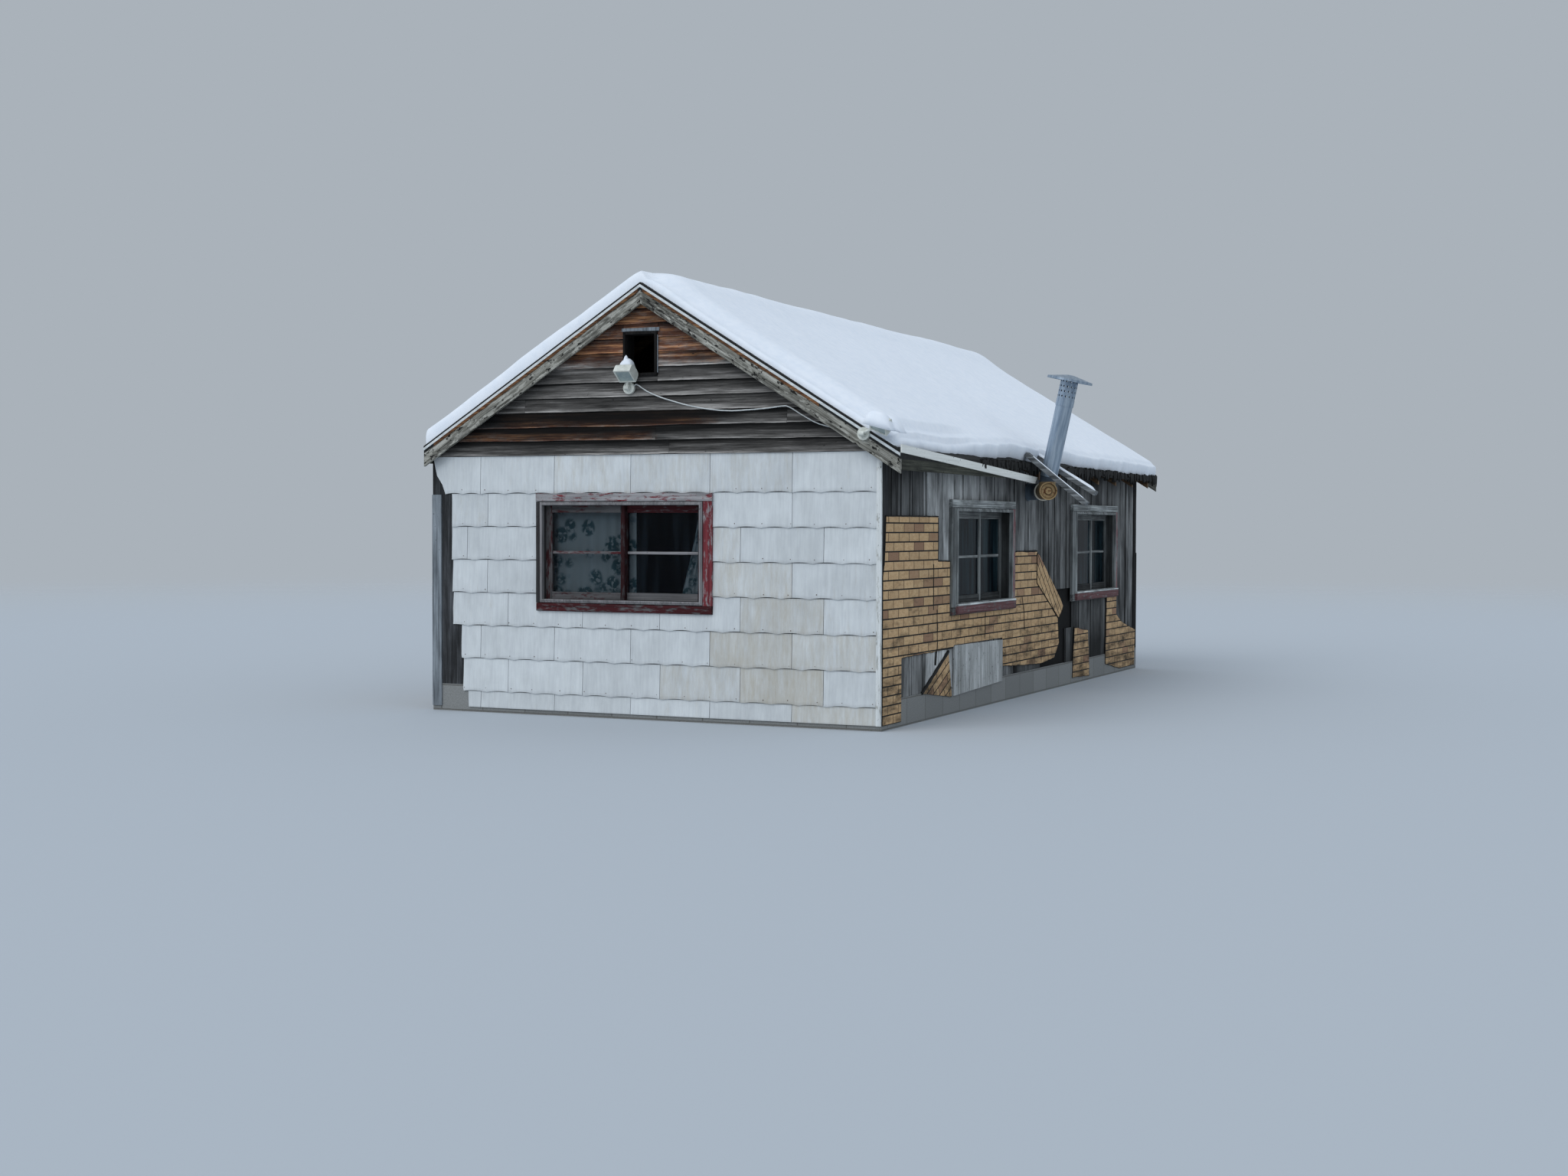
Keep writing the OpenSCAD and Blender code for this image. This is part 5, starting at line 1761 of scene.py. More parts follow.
@dataclass
class Curtains(Work):
    """Two gathered cotton curtains behind the front window, one drawn and one tied back."""

    top: float = 1.672
    foot: float = 0.945
    behind: float = 0.1125

    def cloth(self, name: str, flat_w: float, drop: float,
              edges: Callable[[float], Pair], pleats: int) -> Piece:
        """Builds one curtain as a pleated sheet.

        Args:
            name: The piece's name.
            flat_w: The width that it was cut to.
            drop: Its length.
            edges: Gives its left and right edge at a share of the way down.
            pleats: How many folds it hangs in.

        Returns:
            The piece.
        """
        columns, rows = pleats * 10, 30
        points, faces, places = [], [], []
        for j in range(rows + 1):
            down = j / rows
            left, right = edges(down)
            depth = self.depth_of(right - left, pleats, flat_w)
            for i in range(columns + 1):
                share = i / columns
                fold = math.sin(2 * math.pi * pleats * share + 0.8 * wave(share * 4, down))
                x = left + (right - left) * share
                z = self.top - drop * down
                points.append((x, self.hut.y_front + self.behind + fold * depth, z))
                places.append((share * flat_w, 1 - down * drop))
        for j in range(rows):
            for i in range(columns):
                a = j * (columns + 1) + i
                faces.append((a, a + columns + 1, a + columns + 2, a + 1))
        mesh = bpy.data.meshes.new(name)
        mesh.from_pydata(points, [], faces)
        layer = mesh.uv_layers.new(name="cloth")
        for loop in mesh.loops:
            layer.data[loop.index].uv = places[loop.vertex_index]
        mesh.polygons.foreach_set("use_smooth", [True] * len(faces))
        mesh.materials.append(self.finishes["printed_cotton"])
        return linked(name, mesh)

    @staticmethod
    def depth_of(width: float, pleats: int, flat_w: float) -> float:
        """Gives the depth of the folds that takes up the cloth's spare width."""
        spare = max(0.0, flat_w / width - 1)
        return math.sqrt(spare) * width / (math.pi * pleats)

    def build(self) -> None:
        drop = self.top - self.foot
        drawn = self.cloth("drawn_curtain", 0.80, drop, lambda down: (-0.912, -0.142), 9)
        keep(drawn, "curtain", "front_curtains")

        def tied(down: float) -> Pair:
            """Gives the tied curtain's edges, drawn aside further down."""
            return (0.472 - 0.055 - 0.165 * down ** 1.2, 0.472)

        side = self.cloth("tied_curtain", 0.24, drop, tied, 4)
        keep(side, "curtain", "front_curtains")


@dataclass
class RoofSnow(Work):
    """The snow on the roof: one blanket over both slopes, rounded at the ridge and lipped at its edges."""

    depth: float = 88 * MM
    setback: float = 30 * MM

    def edge_right(self, y: float) -> float:
        """Gives how far the snow stops short of the right eave.

        Args:
            y: The place along the eave.

        Returns:
            The distance, measured up the slope.
        """
        along = y - self.hut.roof_front
        bites = 0.045 * math.exp(-((along - 2.85) / 0.35) ** 2) + 0.05 * math.exp(-((along - 4.3) / 0.4) ** 2)
        waves = 0.022 * wave(y * 1.6, 4.2) + 0.024 * wave(y * 5.5, 1.1) + 0.014 * wave(y * 11, 7.3)
        return 0.085 - 0.009 * along + bites + waves

    def edge_left(self, y: float) -> float:
        """Gives how far the snow stops short of the left eave."""
        return 0.012 + 0.014 * wave(y * 1.9, 8.8) + 0.006 * wave(y * 8, 2.1)

    def thickness(self, u: float, y: float, to_right: float, to_left: float, to_front: float,
                  to_back: float) -> float:
        """Gives the snow's depth, square to the slope.

        Args:
            u: The place, down the slope from the ridge and negative on the left.
            y: The place along the ridge.
            to_right: The distance from the snow's right edge.
            to_left: The distance from its left edge.
            to_front: The distance from its front edge.
            to_back: The distance from its back edge.

        Returns:
            The depth.
        """
        body = self.depth + 0.010 * wave(u * 1.3, y * 0.9) + 0.004 * wave(u * 4, y * 4.3)
        body += 0.03 * math.exp(-((u - 0.13) / 0.22) ** 2)
        # Layers show as terraces near the front of the right eave, and a blunt face behind them
        first = 0.06 + 0.02 * wave(y * 2.3, 6.6)
        second = 0.15 + 0.04 * wave(y * 1.7, 9.4)
        terraces = 0.42 + 0.3 * smooth(to_right, first, first + 0.02)
        terraces += 0.34 * smooth(to_right, second, second + 0.03)
        blunt = 0.85 + 0.15 * smooth(to_right, 0.03, 0.1)
        behind = smooth(y - self.hut.roof_front, 1.3, 2.1)
        body *= terraces * (1 - behind) + blunt * behind
        if u > 0:
            body *= 0.42 + 0.58 * smooth(to_front, 0.05, 0.32)
        eave = 0.05 * (1 - 0.5 * behind) + 0.02 * wave(y * 6, 3.9)
        for distance, radius in ((to_right, eave), (to_left, 0.06), (to_front, 0.04), (to_back, 0.06)):
            inner = 1 - min(1.0, max(0.0, distance) / radius)
            body *= math.sqrt(max(0.0, 1 - inner ** 2.4))
        return body

    def lines(self, low: float, high: float, coarse: float) -> list[float]:
        """Gives grid lines between two edges, close together beside them.

        Args:
            low: The lower edge.
            high: The upper edge.
            coarse: How far apart the lines are in the middle.

        Returns:
            The lines' places.
        """
        ramp = [0, 0.004, 0.010, 0.018, 0.028, 0.040, 0.056, 0.075, 0.1, 0.13, 0.17, 0.22, 0.28, 0.35]
        inner = spread(low + ramp[-1], high - ramp[-1], coarse)
        return [low + r for r in ramp[:-1]] + inner + [high - r for r in reversed(ramp[:-1])]

    def extent(self) -> Rect:
        """Gives the roof's left and right end down the slopes, and the snow's front and back end."""
        hut, cos = self.hut, math.cos(self.hut.pitch)
        ends = (hut.roof_front + self.setback, hut.roof_back - self.setback)
        return (hut.eave_left / cos, hut.eave_right / cos, *ends)

    def layers(self, u_line: float, y_line: float) -> tuple[Vector, Vector]:
        """Gives the snow's top and its bed where two grid lines cross.

        Args:
            u_line: The line's place, down the slope from the ridge and negative on the left.
            y_line: The other line's place along the ridge.

        Returns:
            The point on the snow and the point under it.
        """
        u0, u1, y0, y1 = self.extent()
        cos, sin = math.cos(self.hut.pitch), math.sin(self.hut.pitch)
        wander = 0.012 * wave(u_line * 2.2, 5.5) + 0.005 * wave(u_line * 9, 3.3)
        y = y_line + wander * (1 if y_line < (y0 + y1) / 2 else -1)
        right, left = self.edge_right(y), self.edge_left(y)
        u = u_line - smooth(u_line, u1 - 0.6, u1) * right + (1 - smooth(u_line, u0, u0 + 0.6)) * left
        thick = self.thickness(u, y, u1 - right - u, u - (u0 + left), y_line - y0, y1 - y_line)
        # Deep snow rounds the ridge, and thin snow follows its fold
        full = min(1.0, thick / self.depth)
        drop = abs(u) * (1 - full) + (math.sqrt(u * u + 0.08 ** 2) - 0.08) * full
        normal = Vector((sin * max(-1.0, min(1.0, u / 0.2)), 0, cos)).normalized()
        base = Vector((u * cos, y, self.hut.ridge_top - drop * sin))
        bed = Vector((u * cos, y, self.hut.ridge_top - abs(u) * sin + 1 * MM))
        return base + normal * (thick + 3 * MM), bed

    def build(self) -> Piece:
        """Builds the blanket as a grid over both slopes, with a bed under it and a rim round it.

        Returns:
            The piece.
        """
        u0, u1, y0, y1 = self.extent()
        us = self.lines(u0, u1, 0.045)
        grid = [[self.layers(u, y) for u in us] for y in self.lines(y0, y1, 0.045)]
        draft = Draft()
        tops = [draft.ring([top for top, _ in row], 0.0, 0.0) for row in grid]
        beds = [draft.ring([bed for _, bed in row], 0.0, 0.0) for row in grid]
        last = len(us) - 1
        strips = list(zip(tops, tops[1:], beds, beds[1:]))
        for a, b, c, d in strips:
            for i in range(last):
                draft.face((a + i, a + i + 1, b + i + 1, b + i))
                draft.face((c + i, d + i, d + i + 1, c + i + 1))
        for a, b, c, d in strips:
            for i in (0, last):
                draft.face((a + i, b + i, d + i, c + i))
        for a, c in ((tops[0], beds[0]), (tops[-1], beds[-1])):
            for i in range(last):
                draft.face((a + i, a + i + 1, c + i + 1, c + i))
        piece = draft.build("roof_snow", [self.finishes["settled_snow"]], rounded=True)
        return keep(piece, "snow", "roof_snow_left", "roof_snow_right")


@dataclass
class RoofEdges(Work):
    """What shows at the roof's edges: rake strips, white drip edges and the rotted roofing at the eave."""

    def slope_strip(self, draft: Draft, sign: int, run: Pair, band: Pair,
                    depth: Pair, tone: float, slot: int, rough: float, step: float = 0.07) -> None:
        """Adds a strip that follows a rake.

        Args:
            draft: The mesh that gets it.
            sign: 1 on the right slope and -1 on the left.
            run: Where it starts and ends, in X from the ridge.
            band: Its lower and upper edge over the roof boards' top.
            depth: Its front and back face, in front of the roof's edge.
            tone: How light it is.
            slot: The number of its material.
            rough: How far its lower edge wanders.
            step: How often it wanders.
        """
        rings = []
        for x in spread(run[0], run[1], step):
            top = self.hut.deck_top(x)
            low = top + band[0] + rough * wave(x * 13, sign * 3.1 + slot)
            high = top + band[1] + 0.3 * rough * wave(x * 9, sign * 5.7)
            front, back = (self.hut.roof_front - d for d in depth)
            corners = ((front, low), (front, high), (back, high), (back, low))
            rings.append([(sign * x, y, z) for y, z in corners])
        draft.loft(rings, tone, 0.0, slot)

    def build(self) -> None:
        """Builds the strips and the ragged roofing."""
        strips = Draft()
        roofing = Draft()
        for sign, end in ((1, self.hut.eave_right), (-1, -self.hut.eave_left)):
            # Bare strip over the rake board, then the drip edge, then the felt under the snow
            shown = 0.7 * end if sign > 0 else end - 0.1
            bare = (6 * MM, -14 * MM)
            self.slope_strip(strips, sign, (0.02, shown), (-0.05, -0.026), bare, -0.1, 0, 9 * MM)
            self.slope_strip(strips, sign, (0.0, end), (-0.025, -0.003), (7 * MM, 2 * MM), 0.1, 1, 0.5 * MM)
            self.slope_strip(roofing, sign, (0.0, end), (-0.004, 0.013), (5 * MM, -60 * MM), 0.0, 0, 3 * MM)
        looks = [self.finishes["orange_strip"], self.finishes["white_metal"]]
        keep(strips.build("rake_strips", looks), "white_trim")
        rng = Random(31)
        y = 1.6
        top = self.hut.deck_top(self.hut.eave_right)
        while y < self.hut.roof_back - 0.03:
            width = rng.uniform(0.02, 0.09)
            hang = rng.uniform(0.02, 0.1)
            x = self.hut.eave_right + rng.uniform(-6, 9) * MM
            lean = rng.uniform(-0.02, 0.02)
            height = rng.uniform(0.005, 0.03)
            outline = [(y, top + height), (y + width, top + height * rng.uniform(0.3, 1)),
                       (y + width * rng.uniform(0.6, 0.95) + lean, top - hang * rng.uniform(0.5, 1)),
                       (y + width * rng.uniform(0.1, 0.5) + lean, top - hang)]
            faces = (-rng.uniform(4, 26) * MM, rng.uniform(2, 5) * MM)
            roofing.loft([[(x + t, b, z) for b, z in outline] for t in faces], rng.uniform(-0.3, 0.6))
            y += width * rng.uniform(0.55, 0.95)
        keep(roofing.build("ragged_roofing", [self.finishes["asphalt_felt"]]), "roofing")


@dataclass
class Trifles(Work):
    """Snow on lamps and braces, the floodlights' glass, the vent's trim, and the shingles' nails."""

    lamp: Triple = (0.145, 0.084, 0.13)
    tilt: float = math.radians(52)
    gable_box: Pair = (-0.13, 2.585)
    gable_arm: Pair = (0.015, 0.113)
    eave_arm: Pair = (0.165, 0.07)
    eave_roll: float = 24.0

    @staticmethod
    def drift(draft: Draft, start: Vector, end: Vector, width: float, height: float, ramp: float,
              seed: float) -> None:
        """Adds a rounded ridge of snow.

        Args:
            draft: The mesh that gets it.
            start: Where it starts, on the surface that it lies on.
            end: Where it ends.
            width: Its width.
            height: Its height in the middle.
            ramp: How far from its ends it reaches its full height.
            seed: What its unevenness depends on.
        """
        length = (end - start).length
        flat = Vector((end.x - start.x, end.y - start.y, 0)).normalized()
        side = Vector((-flat.y, flat.x, 0))
        rings = []
        for s in spread(0.0, length, min(0.03, length / 10)):
            at = start + (end - start) * (s / length)
            near = min(1.0, min(s, length - s) / ramp + 0.02)
            swell = math.sqrt(1 - (1 - near) ** 2) * (1 + 0.3 * wave(s * 5, seed))
            half = width / 2 * (0.55 + 0.45 * min(1.0, swell)) * (1 + 0.12 * wave(s * 6, seed + 4))
            ring = []
            for k in range(9):
                a = math.pi * k / 8
                lift = height * swell * math.sin(a) ** 0.8 * (1 + 0.1 * wave(s * 7, k * 0.7, seed))
                ring.append(at + side * half * math.cos(a) + Vector((0, 0, lift)))
            rings.append(ring)
        draft.loft(rings)

    def heads(self) -> list[Matrix]:
        """Gives the floodlight heads' frames.

        Returns:
            The frames of the gable's and of the eave's head.
        """
        _, depth, height = self.lamp
        back = (depth / 2 + 8 * MM) * math.cos(self.tilt) + height / 2 * math.sin(self.tilt) + 6 * MM
        eave_x = self.hut.x_right - 0.11
        x, z = self.gable_box
        gable = (x + self.gable_arm[0], self.hut.y_front - LAP_BUTT - back, z + self.gable_arm[1])
        eave = (eave_x + self.eave_arm[0], self.hut.roof_front - back,
                self.hut.deck_top(eave_x) - 0.035 + self.eave_arm[1])
        places = [(gable, 0.0), (eave, self.eave_roll)]
        return [Matrix.Translation(at) @ Matrix.Rotation(math.radians(roll), 4, "Y")
                @ Matrix.Rotation(self.tilt, 4, "X") for at, roll in places]

    def glass(self) -> None:
        """Sets a glass into each floodlight's recess."""
        width, depth, height = self.lamp
        draft = Draft()
        for frame in self.heads():
            draft.frame = frame
            half, rise = width / 2 - 12.5 * MM, height / 2 - 12.5 * MM
            outline = [(-half, -rise), (half, -rise), (half, rise), (-half, rise)]
            draft.slab(outline, -depth / 2 + 5 * MM, -depth / 2 + 11 * MM)
        keep(draft.build("floodlight_glass", [self.finishes["lamp_glass"]]), "lamp_housing")

    def snow(self) -> None:
        """Lays snow on the lamps and on the boards beside the stovepipe."""
        draft = Draft()
        first, second = (frame.translation for frame in self.heads())
        top = first + Vector((0, 0.02, 0.045))
        # The eave lamp is buried: a mound hangs over its head, and another leads to the roof behind it
        mounds = [(top, (-0.06, 0, 0), (0.05, 0.01, 0), 0.095, 0.06, 0.05, 1.0),
                  (top, (-0.035, 0, 0.02), (0.01, 0.005, 0.02), 0.05, 0.07, 0.03, 5.0),
                  (second, (-0.11, -0.03, -0.005), (0.1, -0.02, -0.06), 0.17, 0.125, 0.1, 2.0),
                  (second, (-0.1, 0.11, 0.01), (0.13, 0.12, -0.07), 0.22, 0.09, 0.1, 3.0)]
        for base, start, end, *shape in mounds:
            self.drift(draft, base + Vector(start), base + Vector(end), *shape)
        eave = Vector((self.hut.eave_right, 0, self.hut.deck_top(self.hut.eave_right)))
        # Each brace's place along the eave and slope, and its snow's start, end, width and height
        braces = ((2.966, math.radians(39), -0.05, 0.56, 0.042, 6 * MM),
                  (3.264, self.hut.pitch, -0.1, 0.53, 0.074, 22 * MM))
        for y, slope, start, end, width, height in braces:
            along = Vector((math.cos(slope), 0, -math.sin(slope)))
            base = eave + Vector((0, y, 0)) + Vector((math.sin(slope), 0, math.cos(slope))) * 0.069
            self.drift(draft, base + along * start, base + along * end, width, height, 0.05, y)
        keep(draft.build("lying_snow", [self.finishes["settled_snow"]], rounded=True), "snow")

    def vent_trim(self) -> None:
        """Nails a weathered head board and a thin strip beside the gable vent."""
        low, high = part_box("gable_vent")
        face = self.hut.y_front - LAP_BUTT
        draft = Draft()
        draft.board((low.x - 0.01, face, high.z + 2 * MM), LEVEL, UP, (high.x - low.x + 0.03, 0.026, 12 * MM),
                    0.1, rough=4 * MM, step=0.05)
        draft.board((high.x + 8 * MM, face, low.z + 0.02), UP, LEFTWARD,
                    (high.z - low.z - 0.05, 7 * MM, 5 * MM), 0.3, rough=1 * MM, step=0.05)
        keep(draft.build("vent_trim", [self.finishes["grey_board"]]), "vent_wood")

    def nails(self) -> None:
        """Nails the shingles, three heads to a shingle's width in each row."""
        rng = Random(8)
        low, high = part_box("front_window")
        shingles = ShingleFront(self.hut, self.finishes)
        spots = []
        for row in range(7):
            z = shingles.first_butt + 0.034 - row * shingles.exposure
            for x in spread(self.hut.x_left + 0.3, self.hut.x_right - 0.08, 0.2306):
                if low.x - 0.02 < x < high.x + 0.02 and low.z - 0.05 < z < high.z + 0.03:
                    continue
                x += rng.uniform(-0.02, 0.02)
                place = Vector((x, self.hut.y_front - 11.6 * MM, z + rng.uniform(-4, 4) * MM))
                spots.append((place, Vector((0, -1, 0))))
        heads = NailHeads().set_in("shingle_nails", spots, 3.5 * MM, 2 * MM, self.finishes["rusty_nails"])
        keep(heads, "rusty_steel")

    def build(self) -> None:
        """Builds them all."""
        self.glass()
        self.snow()
        self.vent_trim()
        self.nails()


@dataclass(frozen=True)
class PhotoCamera:
    """The camera at the photograph's viewpoint."""

    place: Triple = (7.342, -13.541, 1.51)
    yaw: float = math.radians(-24.609)
    pitch: float = math.radians(-1.784)
    roll: float = 0.003
    lens: float = 45.08
    sensor: float = 36.0

    def build(self) -> None:
        """Makes it the scene's camera."""
        level = math.cos(self.pitch)
        forward = Vector((math.sin(self.yaw) * level, math.cos(self.yaw) * level, math.sin(self.pitch)))
        right = Vector((math.cos(self.yaw), -math.sin(self.yaw), 0))
        up = right.cross(forward)
        rolled_right = right * math.cos(self.roll) + up * math.sin(self.roll)
        rolled_up = up * math.cos(self.roll) - right * math.sin(self.roll)
        data = bpy.data.cameras.new("photo_camera")
        data.lens = self.lens
        data.sensor_width = self.sensor
        data.clip_end = 300
        camera = bpy.data.objects.new("photo_camera", data)
        turn = Matrix((rolled_right, rolled_up, -forward)).transposed().to_4x4()
        camera.matrix_world = Matrix.Translation(self.place) @ turn
        bpy.context.scene.collection.objects.link(camera)
        bpy.context.scene.camera = camera


@dataclass(frozen=True)
class Studio:
    """A plain pale floor that fades into a plain backdrop, and soft light."""

    backdrop: str = "#aab2ba"
    sky: str = "#dfeaf6"
    floor: str = "#b9bfc5"
    reach: float = 60.0
    fade: Pair = (12.0, 45.0)
    centre: Pair = (0.0, 3.6)

    def light(self) -> None:
        """Sets the world and a broad sun from the upper left."""
        world = bpy.data.worlds.new("studio")
        bpy.context.scene.world = world
        world.use_nodes = True
        world.node_tree.nodes.clear()
        add = partial(add_node, world.node_tree)
        path = add("LightPath").outputs
        seen = add("Math", {0: path["Is Camera Ray"], 1: path["Is Transmission Ray"]}, operation="MAXIMUM")
        glossy = add("Math", {0: seen, 1: path["Is Glossy Ray"]}, operation="MAXIMUM")
        sky = add("Background", {"Color": self.sky, "Strength": 0.84})
        plain = add("Background", {"Color": self.backdrop, "Strength": 1.0})
        add("OutputWorld", {"Surface": add("MixShader", {0: glossy, 1: sky, 2: plain})})
        sun = bpy.data.lights.new("broad_sun", "SUN")
        sun.energy = 0.98
        sun.angle = math.radians(50)
        sun.color = (0.96, 0.98, 1.0)
        lamp = bpy.data.objects.new("broad_sun", sun)
        lamp.rotation_euler = (math.radians(48), 0, math.radians(-18))
        bpy.context.scene.collection.objects.link(lamp)

    def build(self) -> None:
        """Makes the floor and the light."""
        made, add = surface("studio_floor")
        plain = add("BsdfPrincipled", {"Base Color": self.floor, "Roughness": 0.9, "Specular IOR Level": 0.1})
        away = add("VectorMath", {0: still_place(add), 1: (*self.centre, 0.0)}, operation="DISTANCE")
        near, far = self.fade
        faded = add("MapRange", {"Value": away.outputs["Value"], "From Min": near, "From Max": far},
                    interpolation_type="SMOOTHSTEP")
        add("OutputMaterial", {"Surface": add("MixShader", {0: faded, 1: plain, 2: add("BsdfTransparent")})})
        x, y = self.centre
        mesh = bpy.data.meshes.new("floor")
        signs = ((-1, -1), (1, -1), (1, 1), (-1, 1))
        corners = [(x + a * self.reach, y + b * self.reach, 0.0) for a, b in signs]
        mesh.from_pydata(corners, [], [(0, 1, 2, 3)])
        mesh.materials.append(made)
        linked("studio_floor", mesh)
        self.light()
        bpy.context.scene.view_settings.view_transform = "Standard"


def finish_list(hut: Hut) -> list[Finish]:
    """Lists the hut's finishes.

    Args:
        hut: The hut, whose slope the rake boards' grain follows.

    Returns:
        The finishes.
    """
    upright_level = (("upright", Along.Z), ("level", Along.X))
    upright_deep = (("upright", Along.Z), ("level", Along.Y))
    rakes = (("right", 0.36, 0.08, hut.pitch), ("left", 0.4, 0.07, -hut.pitch))
    return [
        # Unpainted lap boards, gone silver-black, with red-brown and bare orange wood where they kept dry
        Timber("lap_boards", ("#22201e", "#5b5855", "#9b9793"), Along.X, ("#1a0c08", "#452b1f", "#a1744f"),
               flake_edge=0.4, grain_mm=14, contrast=0.8, lines=0.3, blotch_mm=(620, 60), blotch=0.42),
        # The boards behind the cladding's gaps, almost black in its shade
        Timber("shaded_sheathing", ("#0c0b0a", "#171514", "#262321"), Along.X),
        # Rough upright boards, silver where they dry and almost black in wet stains; their shade attribute
        # adds painted shade under the eave and on the boards' sides
        Timber("wall_boards", ("#5a5b5a", "#8b8c8b", "#b7b8b7"), Along.Z, grain_mm=30, contrast=0.5,
               lines=0.25, blotch_mm=(620, 190), blotch=0.16),
        # Painted shade: the lining behind the boards, near-black like the unlit room seen between them
        Timber("dark_lining", ("#060606", "#0b0a0a", "#121110"), Along.Z),
        # Dark red paint on the front window, mostly gone from its mouldings and its head
        *(Timber(f"window_wood_{way}", ("#6d6d6f", "#949293", "#b5b0b1"), along, grain_mm=5, contrast=0.8,
                 lines=0.4, blotch=0.7) for way, along in upright_level),
        # Bare grey wood on the side windows, with a trace of red
        *(Timber(f"side_window_wood_{way}", ("#46494a", "#7d807f", "#aaaeac"), along,
                 ("#4f3233", "#754f50", "#937071"), grain_mm=5, blotch=0.4) for way, along in upright_deep),
        # Rake boards with pale lichen and black mould, their grain down each slope
        *(Timber(f"rake_wood_{hand}", ("#2a2925", "#7d7b72", "#aeaca4"), Along.X,
                 ("#8f8d84", "#a8a69d", "#c2c0b6"), share, spots="#201f1d", spot_share=mould,
                 spot_mm=(60, 26), grain_mm=8, pitch=pitch) for hand, share, mould, pitch in rakes),
        # A strip of wood under the roof's edge, kept orange-brown by the metal over it
        Timber("orange_strip", ("#2e1a12", "#6f4a30", "#a87c52"), Along.X, grain_mm=6),
        # Planed boards gone an even silver-grey, and the front wall's boards, painted darker as painted shade
        # where they show behind the shingles
        Timber("grey_board", ("#565b60", "#7c8389", "#9aa1a7"), Along.Z, grain_mm=10, blotch=0.75),
        Timber("sheathing", ("#222324", "#3a3b3d", "#55575a"), Along.Z, grain_mm=14),
        # The vent's frame, painted near-black as painted shade, so that it reads as the vent's dark hole
        Timber("vent_frame", ("#0a0908", "#161413", "#2a2725"), Along.Z),
        # Chalky white paint, whole on the corner strip and flaking from the loose strip
        Timber("white_painted_wood", ("#8a8a84", "#b4b4ad", "#c9c9c3"), Along.Z,
               ("#c6c9c8", "#d9dcdb", "#e4e6e5"), 0.5, grain_mm=8, blotch=0.8),
        Timber("cream_painted_strip", ("#98968a", "#c2c1b6", "#d6d5cb"), Along.Y,
               ("#d9dad4", "#e7e8e2", "#f0f1ec"), 0.62, grain_mm=6, lines=0.3, blotch=0.8),
        # Inside the roof and on its eaves: brown where it is dry, greenish black where it drips, the fascia
        # darker still with painted shade
        Timber("rafter_wood", ("#3d2f22", "#6d5640", "#93785a"), Along.X, grain_mm=9),
        Timber("fascia_wood", ("#22231d", "#3f4037", "#5b5c50"), Along.Y, grain_mm=8, spots="#141410",
               spot_share=0.03),
        # A pipe brace gone grey, and a pale patch of plywood with wide grain and some mould
        Timber("brace_wood", ("#333435", "#6c6f71", "#9da1a3"), Along.X, grain_mm=12, lines=0.3, blotch=0.5),
        Timber("plywood_face", ("#8d8f8c", "#adafae", "#c4c6c5"), Along.Z, grain_mm=22, contrast=1.2,
               spots="#4a4a47", spot_share=0.03, lines=0.3, blotch=0.75),
        # Planks of the door and the floor, brown where hands and boots keep them rubbed
        Timber("door_planks", ("#32251b", "#59442f", "#7b6248"), Along.Z, grain_mm=10),
        Timber("floor_planks", ("#4b3826", "#735839", "#947450"), Along.Y, grain_mm=10),
        ShingleCement(),
        SettledSnow(),
        BrickGranules(),
        BlockWork(),
        PrintedCotton(),
        # Bitumen felt: black, gritty, with pale grit left on it
        Matt("asphalt_felt", "#0c0c0b", "#1d1c1a", (14, 14, 14), 0.9, bump_mm=3),
        Matt("roof_felt", "#0d0d0d", "#242423", (30, 30, 30), 0.92, bump_mm=3),
        # White paint on metal and white plastic, a little grimy, with a soft shine
        Matt("white_metal", "#b9bdbd", "#d9dddd", (90, 20, 20), 0.5, bump_mm=0.5),
        Matt("lamp_plastic", "#c2c4bb", "#dcded5", (40, 40, 40), 0.45, bump_mm=0.3),
        # Floodlight glass: greenish, dusty, with the pale reflector behind it
        Matt("lamp_glass", "#8b9a9c", "#a9b6b2", (60, 60, 60), 0.2, bump_mm=0.1),
        # A light grey rubber sheath
        Matt("cable_sheath", "#b3b6b5", "#cfd2d1", (30, 30, 30), 0.5, bump_mm=0.2),
        # Hot-dip zinc: bluish, with soft upright drips
        Matt("galvanised_sheet", "#76879a", "#a7b5c2", (26, 26, 420), 0.42, 0.65, 0.4,
             (0.0, math.radians(12.3), 0.0)),
        TeeSheet(),
        # Steel nail heads that have rusted and bled
        Matt("rusty_nails", "#3a2a22", "#6b5240", (10, 10, 10), 0.8, 0.2, 0.3),
        # Both windows' glass: dust over painted shade of the dark room behind, bluer in front and greener on
        # the sides
        DustyPane("front_pane", "#1c262e", 0.62, "#03050b"),
        DustyPane("side_pane", "#26393f", 0.12, "#070c12", 0.03),
    ]


NODE_FINISHES: Mapping[str, Sequence[str]] = {
    "concrete_block": ("foundation_front", "foundation_back", "foundation_left", "foundation_right"),
    "floor_planks": ("floor",),
    "sheathing": ("front_wall",),
    "rafter_wood": ("rafters_left", "rafters_right", "ridge_board"),
    "roof_felt": ("roof_left", "roof_right"),
    "rake_wood_left": ("front_rake_left", "back_rake_left"),
    "rake_wood_right": ("front_rake_right", "back_rake_right"),
    "fascia_wood": ("fascia_left", "fascia_right"),
    "cream_painted_strip": ("loose_fascia",),
    "white_painted_wood": ("corner_trim", "door_casing"),
    "grey_board": ("corner_board",),
    "plywood_face": ("plywood_patch",),
    "front_pane": ("front_window_glass",),
    "side_pane": ("right_window_glass", "left_window_glass"),
    "door_planks": ("door",),
    "vent_frame": ("gable_vent",),
    "lamp_plastic": ("floodlight_gable", "floodlight_eave"),
    "cable_sheath": ("light_cable",),
    "tee_sheet": ("stovepipe_tee",),
    "galvanised_sheet": ("stovepipe", "stovepipe_cap"),
    "brace_wood": ("pipe_braces",),
}


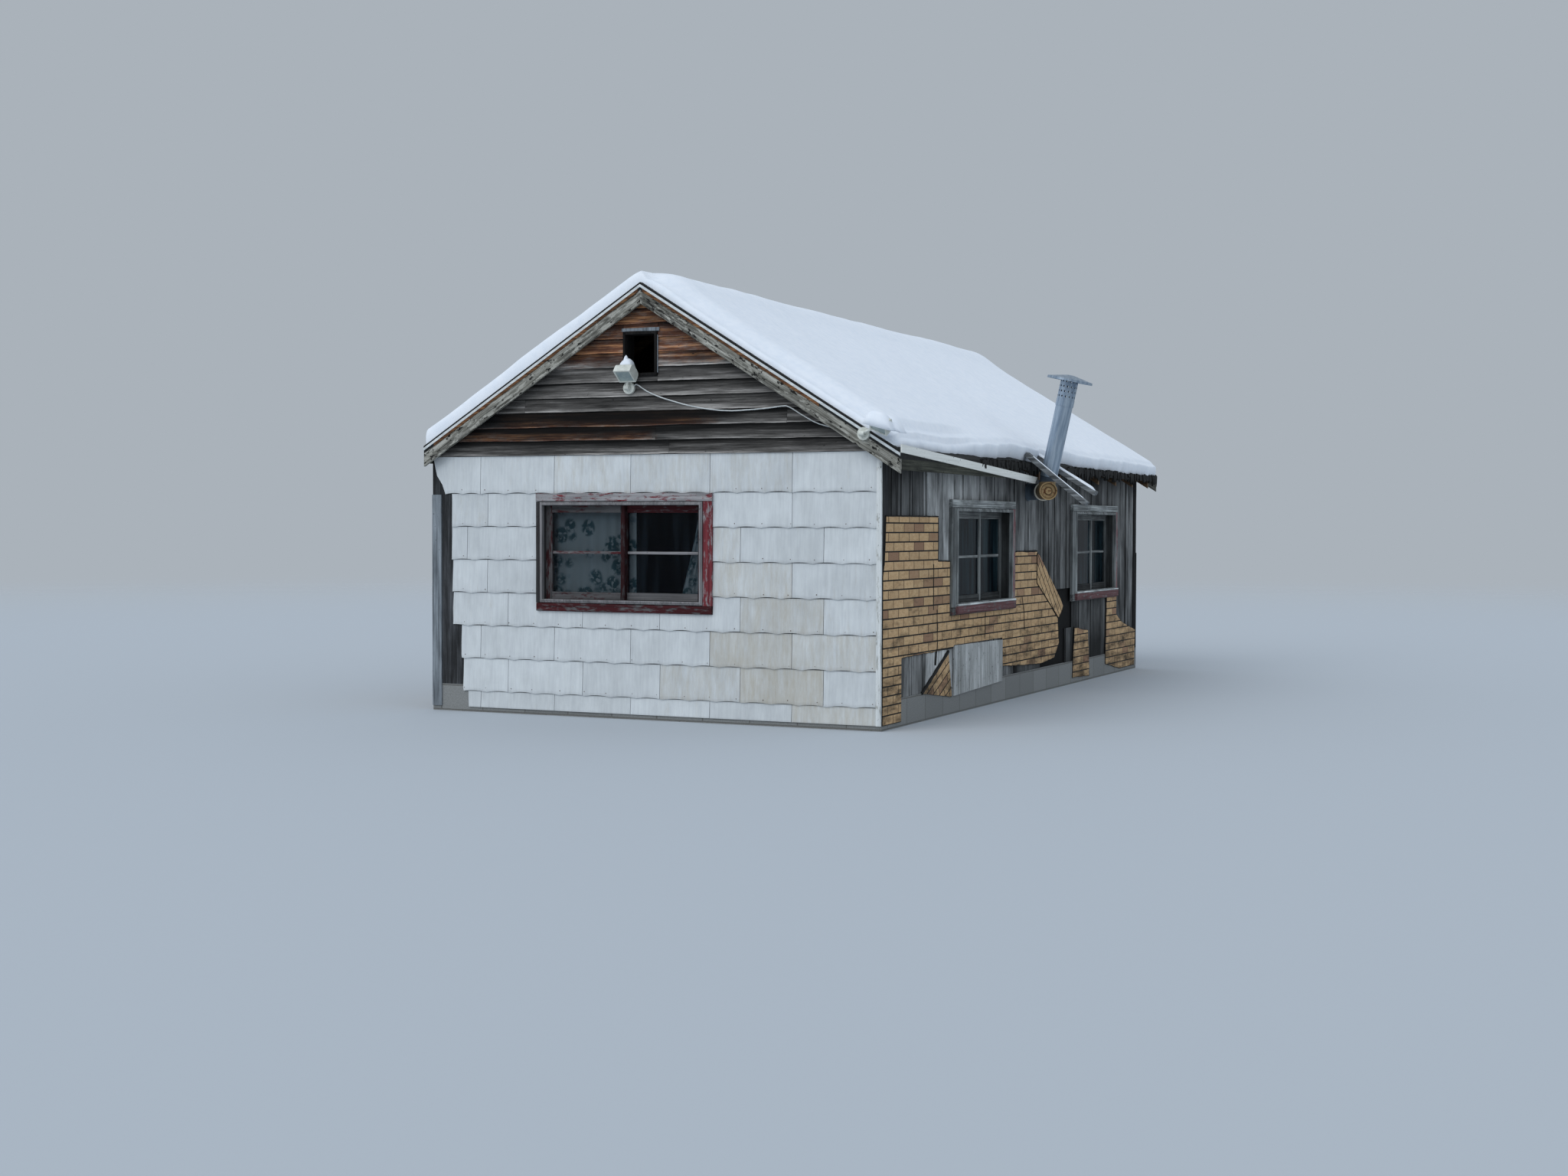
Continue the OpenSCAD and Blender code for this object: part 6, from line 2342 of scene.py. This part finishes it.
def dress_nodes(nodes: Mapping[str, Piece], finishes: Finishes) -> None:
    """Gives each CAD node that stays in sight its finish.

    Args:
        nodes: The frame's nodes by name.
        finishes: The hut's finishes.
    """
    for finish, names in NODE_FINISHES.items():
        for name in names:
            materials = nodes[name].data.materials
            materials.clear()
            materials.append(finishes[finish])
        LOG.info("%s: %s", finish, ", ".join(names))


def build_walls(hut: Hut, finishes: Finishes) -> None:
    """Builds the boarded walls and both gables.

    Args:
        hut: The hut.
        finishes: Its finishes.
    """
    length = hut.y_back - hut.y_front
    full = (FOUNDATION_TOP, 2.1)
    # Holes, each with its left, right, lower and upper edge: windows, the pipe's, and rotted boards
    windows = [(y - 0.72, y + 0.72, 0.875, 1.66) for y in SIDE_WINDOWS]
    pipe = (3.524 - 0.058, 3.524 + 0.058, 1.83 - 0.058, 1.83 + 0.058)
    rotted = [(3.95, 4.36, 0.2, 0.93), (4.36, 4.72, 0.2, 0.93), (4.72, 4.95, 0.55, 0.93)]
    gaps = (0.19, 0.32, 0.39, 0.57, 0.63, 0.87, 0.93, 1.13, 1.3, 1.79, 2.23, 2.6, 3.16, 3.94, 4.02, 4.18,
            4.36, 4.54, 4.76, 5.2, 5.6, 6.0, 6.22, 6.73, 6.94, 7.05)
    # Almost black at the front corner, silver beside and over the first window, darker behind it
    paleness = ((0.85, -0.8), (1.0, 0.6), (1.45, 0.85), (2.2, 0.6), (3.1, 0.05), (3.25, -0.2), (4.3, -0.25),
                (4.7, -0.7), (6.3, -0.6), (7.2, -0.3))
    cracks = {0.32: 12 * MM, 0.63: 14 * MM, 2.23: 34 * MM, 3.94: 22 * MM, 4.36: 16 * MM, 7.05: 20 * MM}
    right = BoardedWall(hut, finishes, Side.RIGHT, "right_wall", (WALL, length - WALL), full,
                        [*windows, pipe, *rotted], gaps, cracks, paleness)
    right.build("right_wall_boards", 3)
    mirrored = [(-b, -a, low, high) for a, b, low, high in windows]
    left = BoardedWall(hut, finishes, Side.LEFT, "left_wall", (-length + WALL, -WALL), full, mirrored,
                       paleness=((-7.0, -0.6), (-4.0, -0.2), (0.0, -0.5)))
    left.build("left_wall_boards", 4)
    door = (-0.404, 0.404, FOUNDATION_TOP, 1.998)
    back = BoardedWall(hut, finishes, Side.BACK, "back_wall", (hut.x_left, hut.x_right),
                       (FOUNDATION_TOP, GABLE_FOOT), [door], paleness=((-2.0, -0.4), (2.0, -0.5)))
    back.build("back_wall_boards", 5)
    low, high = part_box("gable_vent")
    front_gable = LapGable(hut, finishes, Side.FRONT, vent=(low.x, high.x, low.z, high.z),
                           joints={0: 0.21, 1: 0.09, 2: 1.21, 3: -1.09})
    front_gable.build("front_gable_boards", 6, "front_gable")
    back_gable = LapGable(hut, finishes, Side.BACK, joints={0: -0.6, 2: 0.4, 3: -0.3, 5: 0.2})
    back_gable.build("back_gable_boards", 7, "back_gable")


def main() -> None:
    """Builds the whole scene."""
    logging.basicConfig(level=logging.INFO, format="%(message)s")
    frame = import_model()
    PhotoCamera().build()
    Studio().build()
    hut = Hut.from_frame()
    finishes = Finishes(finish_list(hut))
    dress_nodes(frame["nodes"], finishes)
    build_walls(hut, finishes)
    for work in (ShingleFront, BrickCladding, Windows, Curtains, RoofSnow, RoofEdges, Trifles):
        work(hut, finishes).build()


if __name__ == "__main__":
    main()
